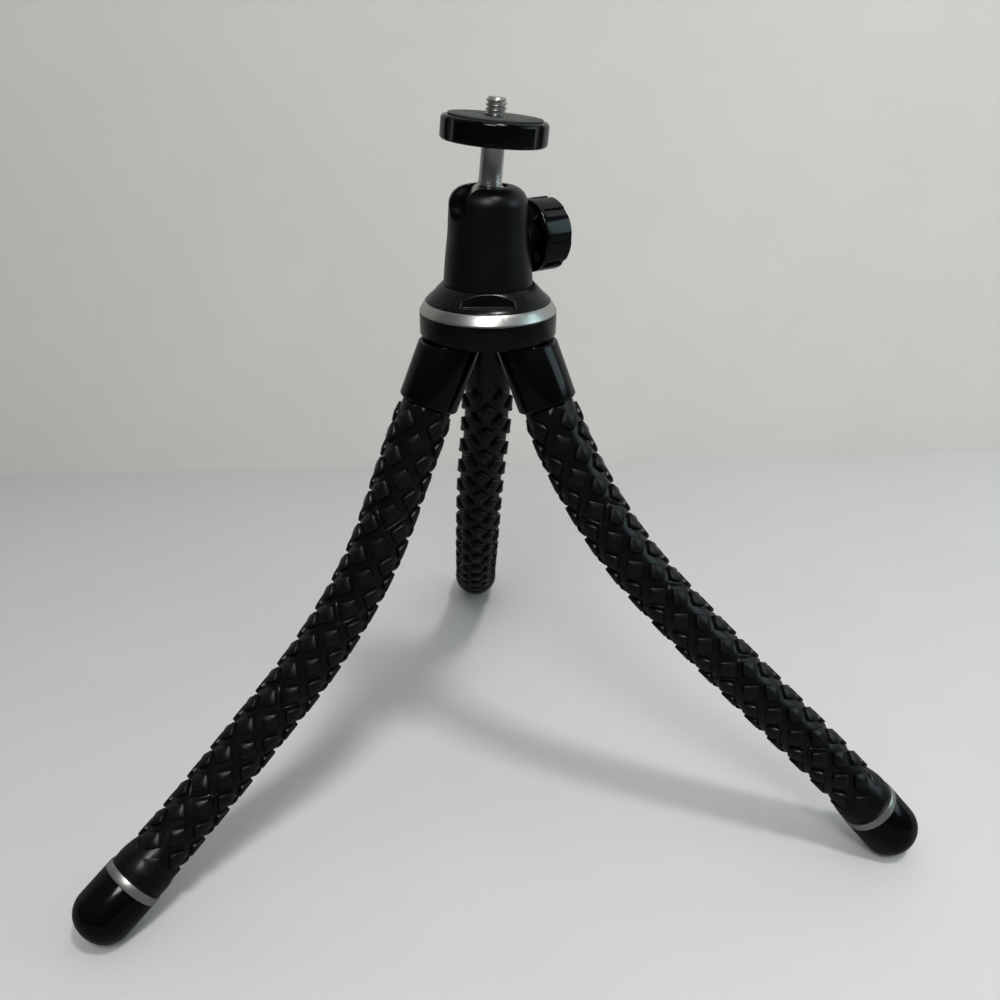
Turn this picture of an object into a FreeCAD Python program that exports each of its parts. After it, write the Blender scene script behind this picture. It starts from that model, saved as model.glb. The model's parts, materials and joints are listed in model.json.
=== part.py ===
# A small camera tripod with three flexible legs and a ball head.
# Lengths are in millimetres and angles in degrees, with +Z up.
# The origin is on the floor, under the middle of the part's outline.
# First come the sizes, then the drawing helpers, then the pieces from the legs up to the camera screw.
import FreeCAD
import Part
import Sketcher
import math
import os
from types import SimpleNamespace

from FreeCAD import Placement, Rotation, Vector

# Driving dimensions, which the sheet keeps under the same names.
SIZES = {
    # Clearances
    "face_gap": 0.05,  # between flat faces that turn on each other
    "fit_gap": 0.05,  # on the radius, between a pin or plug and its bore
    "free_gap": 0.1,  # on the radius, where a piece turns or slides
    # Hub: the body that the three legs grow out of
    "hub_height": 179.2,  # floor to the hub's underside
    "hub_radius": 21.5,
    "hub_floor": 3.0,
    "hub_wall": 4.4,
    "hub_band": 7.5,  # height of the black band
    "hub_chamfer": 0.8,
    "window_width": 22.0,
    "window_height": 3.7,
    "window_depth": 1.0,
    "ring_height": 3.3,  # the silver ring
    "ring_land": 0.4,  # its upright foot, below the bevel
    "ring_slope": 1.8,  # how far the bevel leans in
    "shoulder_height": 5.2,
    "shoulder_slope": 5.2,
    "notch_wall": 14.8,  # radius of the notch's back wall
    "notch_floor": 1.2,
    "notch_back_width": 15.5,
    "notch_front_width": 19.0,
    "hub_screw_inset": 9.0,  # from the hub's side in to the screws
    "hub_screw_radius": 1.25,
    "hub_screw_head_radius": 2.2,
    "hub_screw_head": 1.6,
    "hub_screw_sink": 0.2,
    "hub_screw_bite": 3.0,  # length that holds in the shoulder
    "screw_socket": 0.9,  # size of the hexagon for the key
    "screw_socket_depth": 0.9,
    "front_azimuth": 271.0,  # the notch and window that face the viewer
    # Legs: a collar, five ball-jointed links in a ribbed sleeve, and a foot
    "collar_tilt": 24.0,  # from the upright
    "collar_inset": 8.4,  # from the hub's side in to where the collar's axis leaves the hub
    "collar_length": 21.9,
    "collar_radius": 9.5,
    "collar_edge": 0.8,
    "root_radius": 5.0,
    "root_depth": 8.0,  # how far the root goes up into the hub
    "link_length": 36.9,  # from one hinge to the next
    "ball_radius": 4.2,
    "pin_radius": 0.8,
    "neck_radius": 1.8,
    "neck_length": 6.3,
    "shank_radius": 5.5,
    "shank_start": 9.0,
    "bead_radius": 7.1,  # the bead that carries the sleeve
    "bead_length": 6.0,
    "socket_radius": 5.9,
    "socket_depth": 6.5,
    "socket_lip": 1.2,
    "sleeve_bore": 7.2,
    "sleeve_radius": 9.2,
    "foot_radius": 10.1,
    "foot_ring_width": 2.8,
    "foot_straight": 11.0,
    "foot_round": 8.5,
    "foot_plug_radius": 4.5,
    "foot_plug_depth": 10.0,  # inside the cap
    # Ball head: the housing that turns on the hub
    "centre_screw_radius": 2.5,
    "centre_screw_bite": 6.0,  # length that holds in the leg carrier
    "centre_screw_head_radius": 4.0,
    "centre_screw_head": 1.5,
    "plug_radius": 10.5,
    "plug_height": 3.75,
    "housing_foot_radius": 13.9,
    "housing_low_radius": 13.4,
    "housing_low": 6.5,
    "housing_waist_radius": 12.4,
    "housing_waist": 15.7,
    "housing_top_radius": 12.0,
    "housing_height": 29.1,
    "dome_height": 6.1,  # from the top down to where the wall stands upright
    "dome_round": 5.5,
    "opening_radius": 5.95,
    "cavity_radius": 7.5,
    "head_ball_radius": 6.8,
    "ball_drop": 5.4,  # from the housing's top down to the ball's middle
    "ball_shelf": 1.0,  # how far below the ball's middle the cavity narrows
    "slot_width": 8.2,  # the notch that the stem drops into
    "slot_lift": 0.3,  # its round bottom's centre above the ball's middle
    "spring_height": 2.3,
    "spring_inner_radius": 4.8,
    "spring_wall": 0.7,
    "seat_rim": 4.75,  # how far its rim is below the ball's middle
    # Clamp: the knob on the side of the housing
    "knob_azimuth": 37.0,
    "knob_height": 12.7,  # above the housing's foot
    "boss_radius": 7.3,
    "boss_reach": 13.5,
    "stud_radius": 2.5,
    "clamp_pad_length": 2.0,
    "washer_radius": 6.8,
    "washer_thickness": 0.4,
    "knob_radius": 11.3,
    "knob_length": 10.3,
    "knob_edge": 0.8,
    "knob_rim": 1.4,
    "knob_hollow": 4.0,
    "knob_hub_radius": 4.6,
    "stud_depth": 8.0,  # inside the knob
    "flute_count": 8,
    "flute_width": 2.8,
    "flute_depth": 0.7,
    "flute_start": 1.8,
    # Ball, stem and platform
    "stem_lean": 4.8,
    "stem_azimuth": 0.0,
    "stem_radius": 3.5,
    "stem_length": 17.4,  # from the ball's middle to the platform
    "stem_ring_radius": 3.7,
    "stem_ring_start": 5.6,
    "stem_ring_width": 1.0,
    "spigot_radius": 4.0,
    "spigot_length": 3.9,
    "disc_radius": 16.0,
    "disc_thickness": 7.0,
    "disc_edge": 1.3,
    "scallop_count": 10,
    "scallop_radius": 6.0,
    "scallop_depth": 0.5,
    "pad_radius": 14.0,
    "pad_thickness": 0.6,
    "camera_screw_radius": 3.175,
    "camera_screw_reach": 5.0,  # above the pad
    "camera_screw_tip": 0.6,
    "camera_screw_neck_radius": 2.5,
    "camera_screw_neck": 0.1,  # how far its plain neck reaches above the pad
    "camera_screw_head_radius": 4.8,
    "camera_screw_tail_radius": 1.5,
    "camera_screw_tail": 5.0,  # inside the stem
}

# How each leg stands: its root's azimuth, then the tilt and azimuth of its five links.
LEGS = {
    "left": {
        "root": 211.0,
        "tilts": (20.0, 33.0, 44.5, 48.5, 56.0),
        "azimuths": (207.0, 206.0, 210.0, 217.0, 221.0),
    },
    "right": {
        "root": 331.0,
        "tilts": (34.0, 44.7, 46.4, 47.0, 43.0),
        "azimuths": (342.5, 349.0, 351.0, 352.0, 352.5),
    },
    "back": {
        "root": 91.0,
        "tilts": (25.5, 28.0, 38.0, 48.5, 62.0),
        "azimuths": (101.0, 95.0, 93.5, 92.0, 92.0),
    },
}

LINK_COUNT = 5
SIDEWAYS_HINGES = (2, 4)  # the other hinges bend the leg in its upright plane
STRAIGHT_BEND = 0.5  # below this bend a sleeve section is a straight tube
LEG_COUNT = len(LEGS)
KEY_SIDE_COUNT = 6

X_AXIS = Vector(1, 0, 0)
Y_AXIS = Vector(0, 1, 0)
Z_AXIS = Vector(0, 0, 1)


class Size:
    """A value together with the sheet expression that it comes from."""

    def __init__(self, value, text):
        self.value = value
        self.text = text

    def __add__(self, other):
        other = as_size(other)
        return Size(self.value + other.value, f"({self.text} + {other.text})")

    def __sub__(self, other):
        other = as_size(other)
        return Size(self.value - other.value, f"({self.text} - {other.text})")

    def __mul__(self, factor):
        factor = as_size(factor)
        return Size(self.value * factor.value, f"{self.text} * {factor.text}")

    def __truediv__(self, divisor):
        divisor = as_size(divisor)
        return Size(self.value / divisor.value, f"{self.text} / {divisor.text}")


def as_size(number):
    """A plain number as a size, or the size itself."""
    if isinstance(number, Size):
        return number
    return Size(number, str(number))


def write_sheet(doc):
    """Fills the sheet with the driving dimensions and gives them back by name."""
    sheet = doc.addObject("Spreadsheet::Sheet", "Sizes")
    for row, (alias, number) in enumerate(SIZES.items(), start=1):
        sheet.set(f"A{row}", alias)
        sheet.set(f"B{row}", str(number))
        sheet.setAlias(f"B{row}", alias)
    doc.recompute()
    return SimpleNamespace(**{alias: Size(float(sheet.get(alias)), f"Sizes.{alias}") for alias in SIZES})


# Drawing helpers


def bind(obj, **sizes):
    """Ties properties of an object to the sheet."""
    for name, size in sizes.items():
        obj.setExpression(name, as_size(size).text)


def rise(obj, height):
    """Ties the height of an object in its piece to the sheet, unless it starts at the piece's foot."""
    height = as_size(height)
    if height.value != 0:
        obj.setExpression(".Placement.Base.z", height.text)


def cylinder(doc, name, radius, height, foot=0):
    obj = doc.addObject("Part::Cylinder", name)
    bind(obj, Radius=radius, Height=height)
    rise(obj, foot)
    return obj


def sphere(doc, name, radius, height=0):
    obj = doc.addObject("Part::Sphere", name)
    bind(obj, Radius=radius)
    rise(obj, height)
    return obj


def cross_pin(doc, name, radius, half_length, direction=X_AXIS):
    """A cylinder that lies across its piece, with its middle on the axis."""
    obj = cylinder(doc, name, radius, half_length * 2)
    start = direction * -half_length.value
    obj.Placement = Placement(start, Rotation(Z_AXIS, direction))
    return obj


def hexagon(doc, name, size, height, foot=0):
    obj = doc.addObject("Part::Prism", name)
    obj.Polygon = KEY_SIDE_COUNT
    bind(obj, Circumradius=size, Height=height)
    rise(obj, foot)
    return obj


def fuse(doc, name, pieces):
    obj = doc.addObject("Part::MultiFuse", name)
    obj.Shapes = pieces
    return obj


def cut(doc, name, base, tools):
    """The base less one tool or several."""
    obj = doc.addObject("Part::Cut", name)
    obj.Base = base
    obj.Tool = tools[0] if len(tools) == 1 else fuse(doc, f"{name}_tools", tools)
    return obj


def origin_plane(body, role):
    return next(feature for feature in body.Origin.OriginFeatures if feature.Role == role)


def new_sketch(body, name, role, lift=0):
    """A sketch on one of the body's own planes, raised by a size where asked."""
    sketch = body.newObject("Sketcher::SketchObject", name)
    sketch.AttachmentSupport = [(origin_plane(body, role), "")]
    sketch.MapMode = "FlatFace"
    sketch.setExpression(".AttachmentOffset.Base.z", as_size(lift).text)
    return sketch


def fix_point(sketch, line, across, up):
    """Holds the start of a line at its distances from the sketch's origin."""
    for kind, axis, size in (("DistanceX", -2, across), ("DistanceY", -1, up)):
        size = as_size(size)
        if size.value == 0:
            sketch.addConstraint(Sketcher.Constraint("PointOnObject", line, 1, axis))
            continue
        index = sketch.addConstraint(Sketcher.Constraint(kind, -1, 1, line, 1, size.value))
        sketch.setExpression(f"Constraints[{index}]", size.text)


def draw_polygon(sketch, points):
    """A closed outline through points that are bound to the sheet."""
    corners = [Vector(as_size(across).value, as_size(up).value, 0) for across, up in points]
    lines = []
    for start, end in zip(corners, corners[1:] + corners[:1]):
        lines.append(sketch.addGeometry(Part.LineSegment(start, end), False))
    for line, following in zip(lines, lines[1:] + lines[:1]):
        sketch.addConstraint(Sketcher.Constraint("Coincident", line, 2, following, 1))
    for line, (across, up) in zip(lines, points):
        fix_point(sketch, line, across, up)


def draw_circle(sketch, across, up, radius):
    centre = Vector(as_size(across).value, as_size(up).value, 0)
    circle = sketch.addGeometry(Part.Circle(centre, Z_AXIS, radius.value), False)
    index = sketch.addConstraint(Sketcher.Constraint("Radius", circle, radius.value))
    sketch.setExpression(f"Constraints[{index}]", radius.text)
    for kind, axis, size in (("DistanceX", -2, across), ("DistanceY", -1, up)):
        size = as_size(size)
        if size.value == 0:
            sketch.addConstraint(Sketcher.Constraint("PointOnObject", circle, 3, axis))
            continue
        index = sketch.addConstraint(Sketcher.Constraint(kind, -1, 1, circle, 3, size.value))
        sketch.setExpression(f"Constraints[{index}]", size.text)


def turned(doc, name, profile):
    """A body turned about its Z axis from an outline of radii and heights."""
    body = doc.addObject("PartDesign::Body", name)
    sketch = new_sketch(body, f"{name}_profile", "XZ_Plane")
    draw_polygon(sketch, profile)
    revolution = body.newObject("PartDesign::Revolution", f"{name}_turned")
    revolution.Profile = sketch
    revolution.ReferenceAxis = (sketch, ["V_Axis"])
    revolution.Angle = 360
    body.Tip = revolution
    doc.recompute()
    return body


def tube(inner, outer, height):
    """The outline of a plain ring."""
    return [(inner, 0), (outer, 0), (outer, height), (inner, height)]


def round_edges(body, name, radius, heights):
    """Rounds the body's outer circles at the given heights."""
    doc = body.Document
    base = body.Tip
    edges = []
    for height in heights:
        level = as_size(height).value
        circles = [
            (edge.Curve.Radius, f"Edge{number}")
            for number, edge in enumerate(base.Shape.Edges, start=1)
            if isinstance(edge.Curve, Part.Circle) and abs(edge.Curve.Center.z - level) < 1e-6
        ]
        edges.append(max(circles)[1])
    fillet = body.newObject("PartDesign::Fillet", name)
    fillet.Base = (base, edges)
    bind(fillet, Radius=radius)
    body.Tip = fillet
    doc.recompute()
    return fillet


def pocket(body, name, sketch, upward):
    """Cuts the sketch through the body, against its normal or along it."""
    doc = body.Document
    before = body.Shape.Volume
    obj = body.newObject("PartDesign::Pocket", name)
    obj.Profile = sketch
    obj.Type = "ThroughAll"
    obj.Reversed = upward
    body.Tip = obj
    doc.recompute()
    if body.Shape.Volume >= before:
        raise RuntimeError(f"{name} cuts nothing")
    return obj


def repeat_round(body, name, feature, count):
    """Repeats a feature about the body's Z axis."""
    doc = body.Document
    before = body.Shape.Volume
    pattern = body.newObject("PartDesign::PolarPattern", name)
    pattern.Originals = [feature]
    pattern.Axis = (origin_plane(body, "Z_Axis"), [""])
    pattern.Angle = 360
    bind(pattern, Occurrences=count)
    body.Tip = pattern
    doc.recompute()
    if body.Shape.Volume >= before:
        raise RuntimeError(f"{name} repeats nothing")
    return pattern


# Where the pieces stand


def link_direction(tilt, azimuth):
    """The way a link points, from its tilt off the upright and its azimuth."""
    lean = math.radians(tilt)
    turn = math.radians(azimuth)
    return Vector(math.sin(lean) * math.cos(turn), math.sin(lean) * math.sin(turn), -math.cos(lean))


def outward(tilt, azimuth):
    """Square to a link in its upright plane, pointing out and up."""
    return link_direction(tilt + 90, azimuth)


def sideways(azimuth):
    """Square to a link's upright plane, level."""
    return link_direction(90, azimuth + 90)


def hub_outward(azimuth):
    return link_direction(90, azimuth)


def frame_at(point, z_axis, x_axis):
    """A placement whose Z and X axes point the given ways."""
    return Placement(point, Rotation(x_axis, z_axis.cross(x_axis), z_axis, "ZXY"))


def collar_reach(s):
    """Radius at which a collar's axis leaves the hub."""
    return s.hub_radius - s.collar_inset


def walk_leg(s, leg, trim):
    """Hinges, directions and hinge axes of a leg, with trim added to the tilt of each link."""
    tilts = [s.collar_tilt.value] + [tilt + trim for tilt in leg["tilts"]]
    azimuths = [leg["root"], *leg["azimuths"]]
    ways = [link_direction(tilt, azimuth) for tilt, azimuth in zip(tilts, azimuths)]
    mouth = hub_outward(leg["root"]) * collar_reach(s).value + Z_AXIS * s.hub_height.value
    collar_end = mouth + ways[0] * s.collar_length.value
    hinges = [collar_end + ways[0] * (s.link_length.value / 2)]
    for way in ways[1:-1]:
        hinges.append(hinges[-1] + way * s.link_length.value)
    axes = []
    for number, (tilt, azimuth) in enumerate(zip(tilts[1:], azimuths[1:]), start=1):
        bends_sideways = number in SIDEWAYS_HINGES
        axes.append(outward(tilt, azimuth) if bends_sideways else sideways(azimuth) * -1)
    return SimpleNamespace(
        root=leg["root"], tilts=tilts, ways=ways, collar_end=collar_end, hinges=hinges, axes=axes
    )


def foot_level(s, walk):
    """Height of the lowest point of the foot above the floor."""
    tilt = math.radians(walk.tilts[-1])
    reach = s.link_length.value / 2 + s.foot_ring_width.value + s.foot_straight.value
    middle = walk.hinges[-1] + walk.ways[-1] * reach
    flat = s.foot_radius.value - s.foot_round.value
    return middle.z - flat * math.sin(tilt) - s.foot_round.value


def stand_leg(s, leg):
    """The leg with the small extra tilt that brings its foot to the floor."""
    low, high = -20.0, 20.0
    for _ in range(60):
        trim = (low + high) / 2
        if foot_level(s, walk_leg(s, leg, trim)) < 0:
            low = trim
        else:
            high = trim
    return walk_leg(s, leg, trim)


def hub_levels(s):
    """Heights at which the hub's layers start, and the foot of the housing."""
    ring = s.hub_height + s.hub_band
    shoulder = ring + s.ring_height
    top = shoulder + s.shoulder_height
    return SimpleNamespace(
        base=s.hub_height, carrier=s.hub_height + s.hub_floor, ring=ring, shoulder=shoulder,
        top=top, housing=top + s.face_gap,
    )


def ball_height(s):
    """Height of the ball's middle above the housing's foot."""
    return s.housing_height - s.ball_drop


def stem_frame(s, along):
    """A placement on the stem's axis, at a distance from the ball's middle."""
    ball = Z_AXIS * (hub_levels(s).housing + ball_height(s)).value
    way = link_direction(180 - s.stem_lean.value, s.stem_azimuth.value)
    across = way.cross(sideways(s.stem_azimuth.value)) * -1
    return frame_at(ball + way * as_size(along).value, way, across)


def knob_frame(s, along):
    """A placement on the knob's axis, at a distance from the middle of the housing."""
    level = (hub_levels(s).housing + s.knob_height).value
    way = hub_outward(s.knob_azimuth.value)
    return frame_at(way * as_size(along).value + Z_AXIS * level, way, Z_AXIS)


def set_piece(obj, label, placement):
    """Names a finished piece and puts it in its place."""
    obj.Label = label
    obj.Placement = placement
    return obj


def at_height(height):
    return Placement(Z_AXIS * height.value, Rotation())


# Legs


def root_tools(doc, s, name, level):
    """The slanted bores that the leg roots sit in, seen from a piece whose foot is at level."""
    tools = []
    for side, leg in LEGS.items():
        bore = cylinder(doc, f"{name}_{side}_root", s.root_radius + s.fit_gap, s.collar_length + s.root_depth)
        way = link_direction(s.collar_tilt.value, leg["root"])
        mouth = hub_outward(leg["root"]) * collar_reach(s).value
        start = mouth + way * s.collar_length.value + Z_AXIS * (s.hub_height - level).value
        bore.Placement = Placement(start, Rotation(Z_AXIS, way * -1))
        tools.append(bore)
    return tools


def make_collar(doc, s, side, walk):
    """The glossy collar at the root of a leg, cut flat where it meets the hub."""
    bore = s.root_radius + s.fit_gap
    reach = s.collar_length + s.collar_radius
    blank = turned(
        doc,
        f"{side}_collar_blank",
        [
            (bore, 0),
            (s.collar_radius - s.collar_edge, 0),
            (s.collar_radius, s.collar_edge),
            (s.collar_radius, reach),
            (bore, reach),
        ],
    )
    above = cylinder(doc, f"{side}_collar_above", s.hub_radius * 2, s.collar_radius * 2, s.collar_length)
    above.Placement.Rotation = Rotation(Y_AXIS, s.collar_tilt.value)
    piece = cut(doc, f"{side}_collar", blank, [above])
    up = walk.ways[0] * -1
    across = outward(s.collar_tilt.value, walk.root)
    return set_piece(piece, f"{side}_collar", frame_at(walk.collar_end, up, across))


def socket_end(s, end):
    """The outline of a link's socket, from its shoulder out to its lip and in to the axis."""
    start = end - s.socket_depth
    lip = end + s.socket_lip
    return [
        (s.shank_radius, start),
        (s.socket_radius, start),
        (s.socket_radius, lip),
        (0, lip),
    ]


def open_socket(doc, s, name, body, end, axis):
    """Hollows a socket for the next link's ball and its two pins."""
    cavity = sphere(doc, f"{name}_cavity", s.ball_radius + s.free_gap, end)
    hole = cross_pin(doc, f"{name}_hole", s.pin_radius + s.fit_gap, s.socket_radius * 2, axis)
    hole.Placement.Base += Z_AXIS * end.value
    return cut(doc, name, body, [cavity, hole])


def make_root(doc, s, side, walk):
    """The fixed first link: a root held by the hub, a bead and the first socket."""
    end = s.root_depth + s.collar_length + s.link_length / 2
    bead = s.root_depth + s.collar_length
    name = f"{side}_link_0"
    body = turned(
        doc,
        f"{name}_body",
        [
            (0, 0),
            (s.root_radius, 0),
            (s.root_radius, bead),
            (s.bead_radius, bead),
            (s.bead_radius, bead + s.bead_length / 2),
            (s.shank_radius, bead + s.bead_length / 2),
            *socket_end(s, end),
        ],
    )
    start = walk.collar_end - walk.ways[0] * bead.value
    place = frame_at(start, walk.ways[0], sideways(walk.root))
    axis = place.Rotation.inverted().multVec(walk.axes[0])
    return set_piece(open_socket(doc, s, name, body, end, axis), name, place)


def ball_and_neck(s):
    """The outline of a link's neck, from inside the ball out to the shank."""
    return [
        (0, 0),
        (s.neck_radius, 0),
        (s.neck_radius, s.neck_length),
        (s.shank_radius, s.shank_start),
    ]


def add_ball(doc, s, name, body):
    """Joins the ball and its two pins to the neck."""
    ball = sphere(doc, f"{name}_ball", s.ball_radius)
    pins = cross_pin(doc, f"{name}_pins", s.pin_radius, s.socket_radius - s.free_gap * 3)
    return fuse(doc, f"{name}_solid", [body, ball, pins])


def make_link(doc, s, side, walk, number):
    """A link of a leg: ball, neck, shank, bead and socket."""
    name = f"{side}_link_{number}"
    middle = s.link_length / 2
    body = turned(
        doc,
        f"{name}_body",
        [
            *ball_and_neck(s),
            (s.shank_radius, middle - s.bead_length / 2),
            (s.bead_radius, middle - s.bead_length / 2),
            (s.bead_radius, middle + s.bead_length / 2),
            (s.shank_radius, middle + s.bead_length / 2),
            *socket_end(s, s.link_length),
        ],
    )
    place = frame_at(walk.hinges[number - 1], walk.ways[number], walk.axes[number - 1])
    axis = place.Rotation.inverted().multVec(walk.axes[number])
    solid = add_ball(doc, s, name, body)
    return set_piece(open_socket(doc, s, name, solid, s.link_length, axis), name, place)


def make_last_link(doc, s, side, walk):
    """The last link, whose plug carries the foot's ring and cap."""
    name = f"{side}_link_{LINK_COUNT}"
    middle = s.link_length / 2
    plug_end = middle + s.foot_ring_width + s.foot_plug_depth
    body = turned(
        doc,
        f"{name}_body",
        [
            *ball_and_neck(s),
            (s.shank_radius, middle - s.bead_length / 2),
            (s.bead_radius, middle - s.bead_length / 2),
            (s.bead_radius, middle),
            (s.foot_plug_radius, middle),
            (s.foot_plug_radius, plug_end),
            (0, plug_end),
        ],
    )
    place = frame_at(walk.hinges[-1], walk.ways[-1], walk.axes[-1])
    return set_piece(add_ball(doc, s, name, body), name, place)


def bent_tube(doc, s, name, bend):
    """A sleeve section bent evenly through an angle, with its start on the X axis."""
    rings = []
    for part, radius in (("skin", s.sleeve_radius), ("bore", s.sleeve_bore)):
        ring = doc.addObject("Part::Torus", f"{name}_{part}")
        ring.Angle3 = bend
        ring.setExpression("Radius1", f"{s.link_length.text} / 2 / tan(.Angle3 / 2)")
        bind(ring, Radius2=radius)
        rings.append(ring)
    return cut(doc, name, rings[0], rings[1:])


def make_sleeve(doc, s, side, walk, number):
    """A section of rubber sleeve, from the middle of one link to the middle of the next."""
    name = f"{side}_sleeve_{number}"
    way, next_way = walk.ways[number - 1], walk.ways[number]
    half = s.link_length.value / 2
    start = walk.hinges[number - 1] - way * half
    bend = math.degrees(way.getAngle(next_way))
    if bend < STRAIGHT_BEND:
        skin = cylinder(doc, f"{name}_skin", s.sleeve_radius, s.link_length)
        bore = cylinder(doc, f"{name}_bore", s.sleeve_bore, s.link_length)
        piece = cut(doc, name, skin, [bore])
        return set_piece(piece, name, frame_at(start, way, outward(walk.tilts[0], walk.root)))
    inward = next_way - way * next_way.dot(way)
    inward.normalize()
    centre = start + inward * (half / math.tan(math.radians(bend / 2)))
    place = Placement(centre, Rotation(inward * -1, way, way.cross(inward), "XYZ"))
    return set_piece(bent_tube(doc, s, name, bend), name, place)


def make_foot(doc, s, side, walk):
    """The brushed ring and the glossy rounded cap at the end of a leg."""
    bore = s.foot_plug_radius + s.fit_gap
    ring = turned(doc, f"{side}_foot_ring_body", tube(bore, s.foot_radius, s.foot_ring_width))
    top = s.foot_straight + s.foot_round
    cap = turned(
        doc,
        f"{side}_foot_cap_body",
        [
            (bore, 0),
            (s.foot_radius, 0),
            (s.foot_radius, top),
            (0, top),
            (0, s.foot_plug_depth + s.face_gap),
            (bore, s.foot_plug_depth + s.face_gap),
        ],
    )
    round_edges(cap, f"{side}_foot_round", s.foot_round, [top])
    way, across = walk.ways[-1], walk.axes[-1]
    ring_start = walk.hinges[-1] + way * (s.link_length / 2).value
    cap_start = ring_start + way * s.foot_ring_width.value
    return [
        set_piece(ring, f"{side}_foot_ring", frame_at(ring_start, way, across)),
        set_piece(cap, f"{side}_foot_cap", frame_at(cap_start, way, across)),
    ]


def make_leg(doc, s, side, walk):
    pieces = [make_collar(doc, s, side, walk), make_root(doc, s, side, walk)]
    pieces += [make_link(doc, s, side, walk, number) for number in range(1, LINK_COUNT)]
    pieces.append(make_last_link(doc, s, side, walk))
    pieces += [make_sleeve(doc, s, side, walk, number) for number in range(1, LINK_COUNT + 1)]
    return pieces + make_foot(doc, s, side, walk)


# Hub


def around(doc, s, tool_maker, name):
    """One tool for each gap between the legs, starting at the front."""
    tools = []
    for index in range(LEG_COUNT):
        tool = tool_maker(f"{name}_{index + 1}")
        turn = Rotation(Z_AXIS, s.front_azimuth.value + 360 / LEG_COUNT * index)
        tool.Placement = Placement(turn.multVec(tool.Placement.Base), turn)
        tools.append(tool)
    return tools


def screw_holes(doc, s, name, radius, height, foot=0):
    """Bores for the three hub screws."""

    def one_hole(label):
        hole = cylinder(doc, label, radius, height)
        hole.Placement.Base = Vector((s.hub_radius - s.hub_screw_inset).value, 0, as_size(foot).value)
        return hole

    return around(doc, s, one_hole, name)


def make_hub_base(doc, s, levels):
    """The black cup under the hub, with slanted bores for the legs and a window between each pair."""
    inner = s.hub_radius - s.hub_wall
    cup = turned(
        doc,
        "hub_base_cup",
        [
            (0, 0),
            (s.hub_radius - s.hub_chamfer, 0),
            (s.hub_radius, s.hub_chamfer),
            (s.hub_radius, s.hub_band),
            (inner, s.hub_band),
            (inner, s.hub_floor),
            (0, s.hub_floor),
        ],
    )

    def one_window(label):
        window = doc.addObject("Part::Box", label)
        bind(window, Length=s.hub_radius, Width=s.window_width, Height=s.window_height)
        window.Placement.Base = Vector((s.hub_radius - s.window_depth).value, -s.window_width.value / 2, 0)
        return window

    tools = around(doc, s, one_window, "hub_window")
    tools += screw_holes(doc, s, "base_hole", s.hub_screw_radius + s.free_gap, s.hub_floor)
    sink = s.hub_screw_head + s.hub_screw_sink
    tools += screw_holes(doc, s, "base_sink", s.hub_screw_head_radius + s.free_gap, sink)
    tools += root_tools(doc, s, "base", levels.base)
    return set_piece(cut(doc, "hub_base", cup, tools), "hub_base", at_height(levels.base))


def make_leg_carrier(doc, s, levels):
    """The inner disc that grips the three leg roots."""
    radius = s.hub_radius - s.hub_wall - s.free_gap
    height = levels.shoulder - levels.carrier
    disc = cylinder(doc, "carrier_disc", radius, height)
    bore = s.centre_screw_radius + s.fit_gap
    bite = s.centre_screw_bite
    tools = [cylinder(doc, "carrier_centre", bore, bite, height - bite)]
    tools += screw_holes(doc, s, "carrier_hole", s.hub_screw_radius + s.free_gap, height)
    tools += root_tools(doc, s, "carrier", levels.carrier)
    return set_piece(cut(doc, "leg_carrier", disc, tools), "leg_carrier", at_height(levels.carrier))


def make_hub_ring(doc, s, levels):
    """The polished silver ring with its bevel."""
    ring = turned(
        doc,
        "hub_ring_body",
        [
            (s.hub_radius - s.hub_wall, 0),
            (s.hub_radius, 0),
            (s.hub_radius, s.ring_land),
            (s.hub_radius - s.ring_slope, s.ring_height),
            (s.hub_radius - s.hub_wall, s.ring_height),
        ],
    )
    return set_piece(ring, "hub_ring", at_height(levels.ring))


def make_hub_shoulder(doc, s, levels):
    """The sloping top of the hub, notched between the legs."""
    foot_radius = s.hub_radius - s.ring_slope
    bore = s.centre_screw_radius + s.free_gap
    body = turned(
        doc,
        "hub_shoulder_body",
        [
            (bore, 0),
            (foot_radius, 0),
            (foot_radius - s.shoulder_slope, s.shoulder_height),
            (bore, s.shoulder_height),
        ],
    )
    sketch = new_sketch(body, "notch_outline", "XY_Plane", s.notch_floor)
    draw_polygon(
        sketch,
        [
            (s.notch_wall, s.notch_back_width / -2),
            (foot_radius, s.notch_front_width / -2),
            (foot_radius, s.notch_front_width / 2),
            (s.notch_wall, s.notch_back_width / 2),
        ],
    )
    notch = pocket(body, "notch", sketch, upward=True)
    repeat_round(body, "notches", notch, as_size(LEG_COUNT))
    holes = screw_holes(
        doc, s, "shoulder_hole", s.hub_screw_radius + s.fit_gap, s.hub_screw_bite + s.free_gap
    )
    turn = Rotation(Z_AXIS, -s.front_azimuth.value)
    for hole in holes:
        hole.Placement = Placement(Vector(), turn) * hole.Placement
    piece = cut(doc, "hub_shoulder", body, holes)
    place = Placement(Z_AXIS * levels.shoulder.value, Rotation(Z_AXIS, s.front_azimuth.value))
    return set_piece(piece, "hub_shoulder", place)


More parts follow.
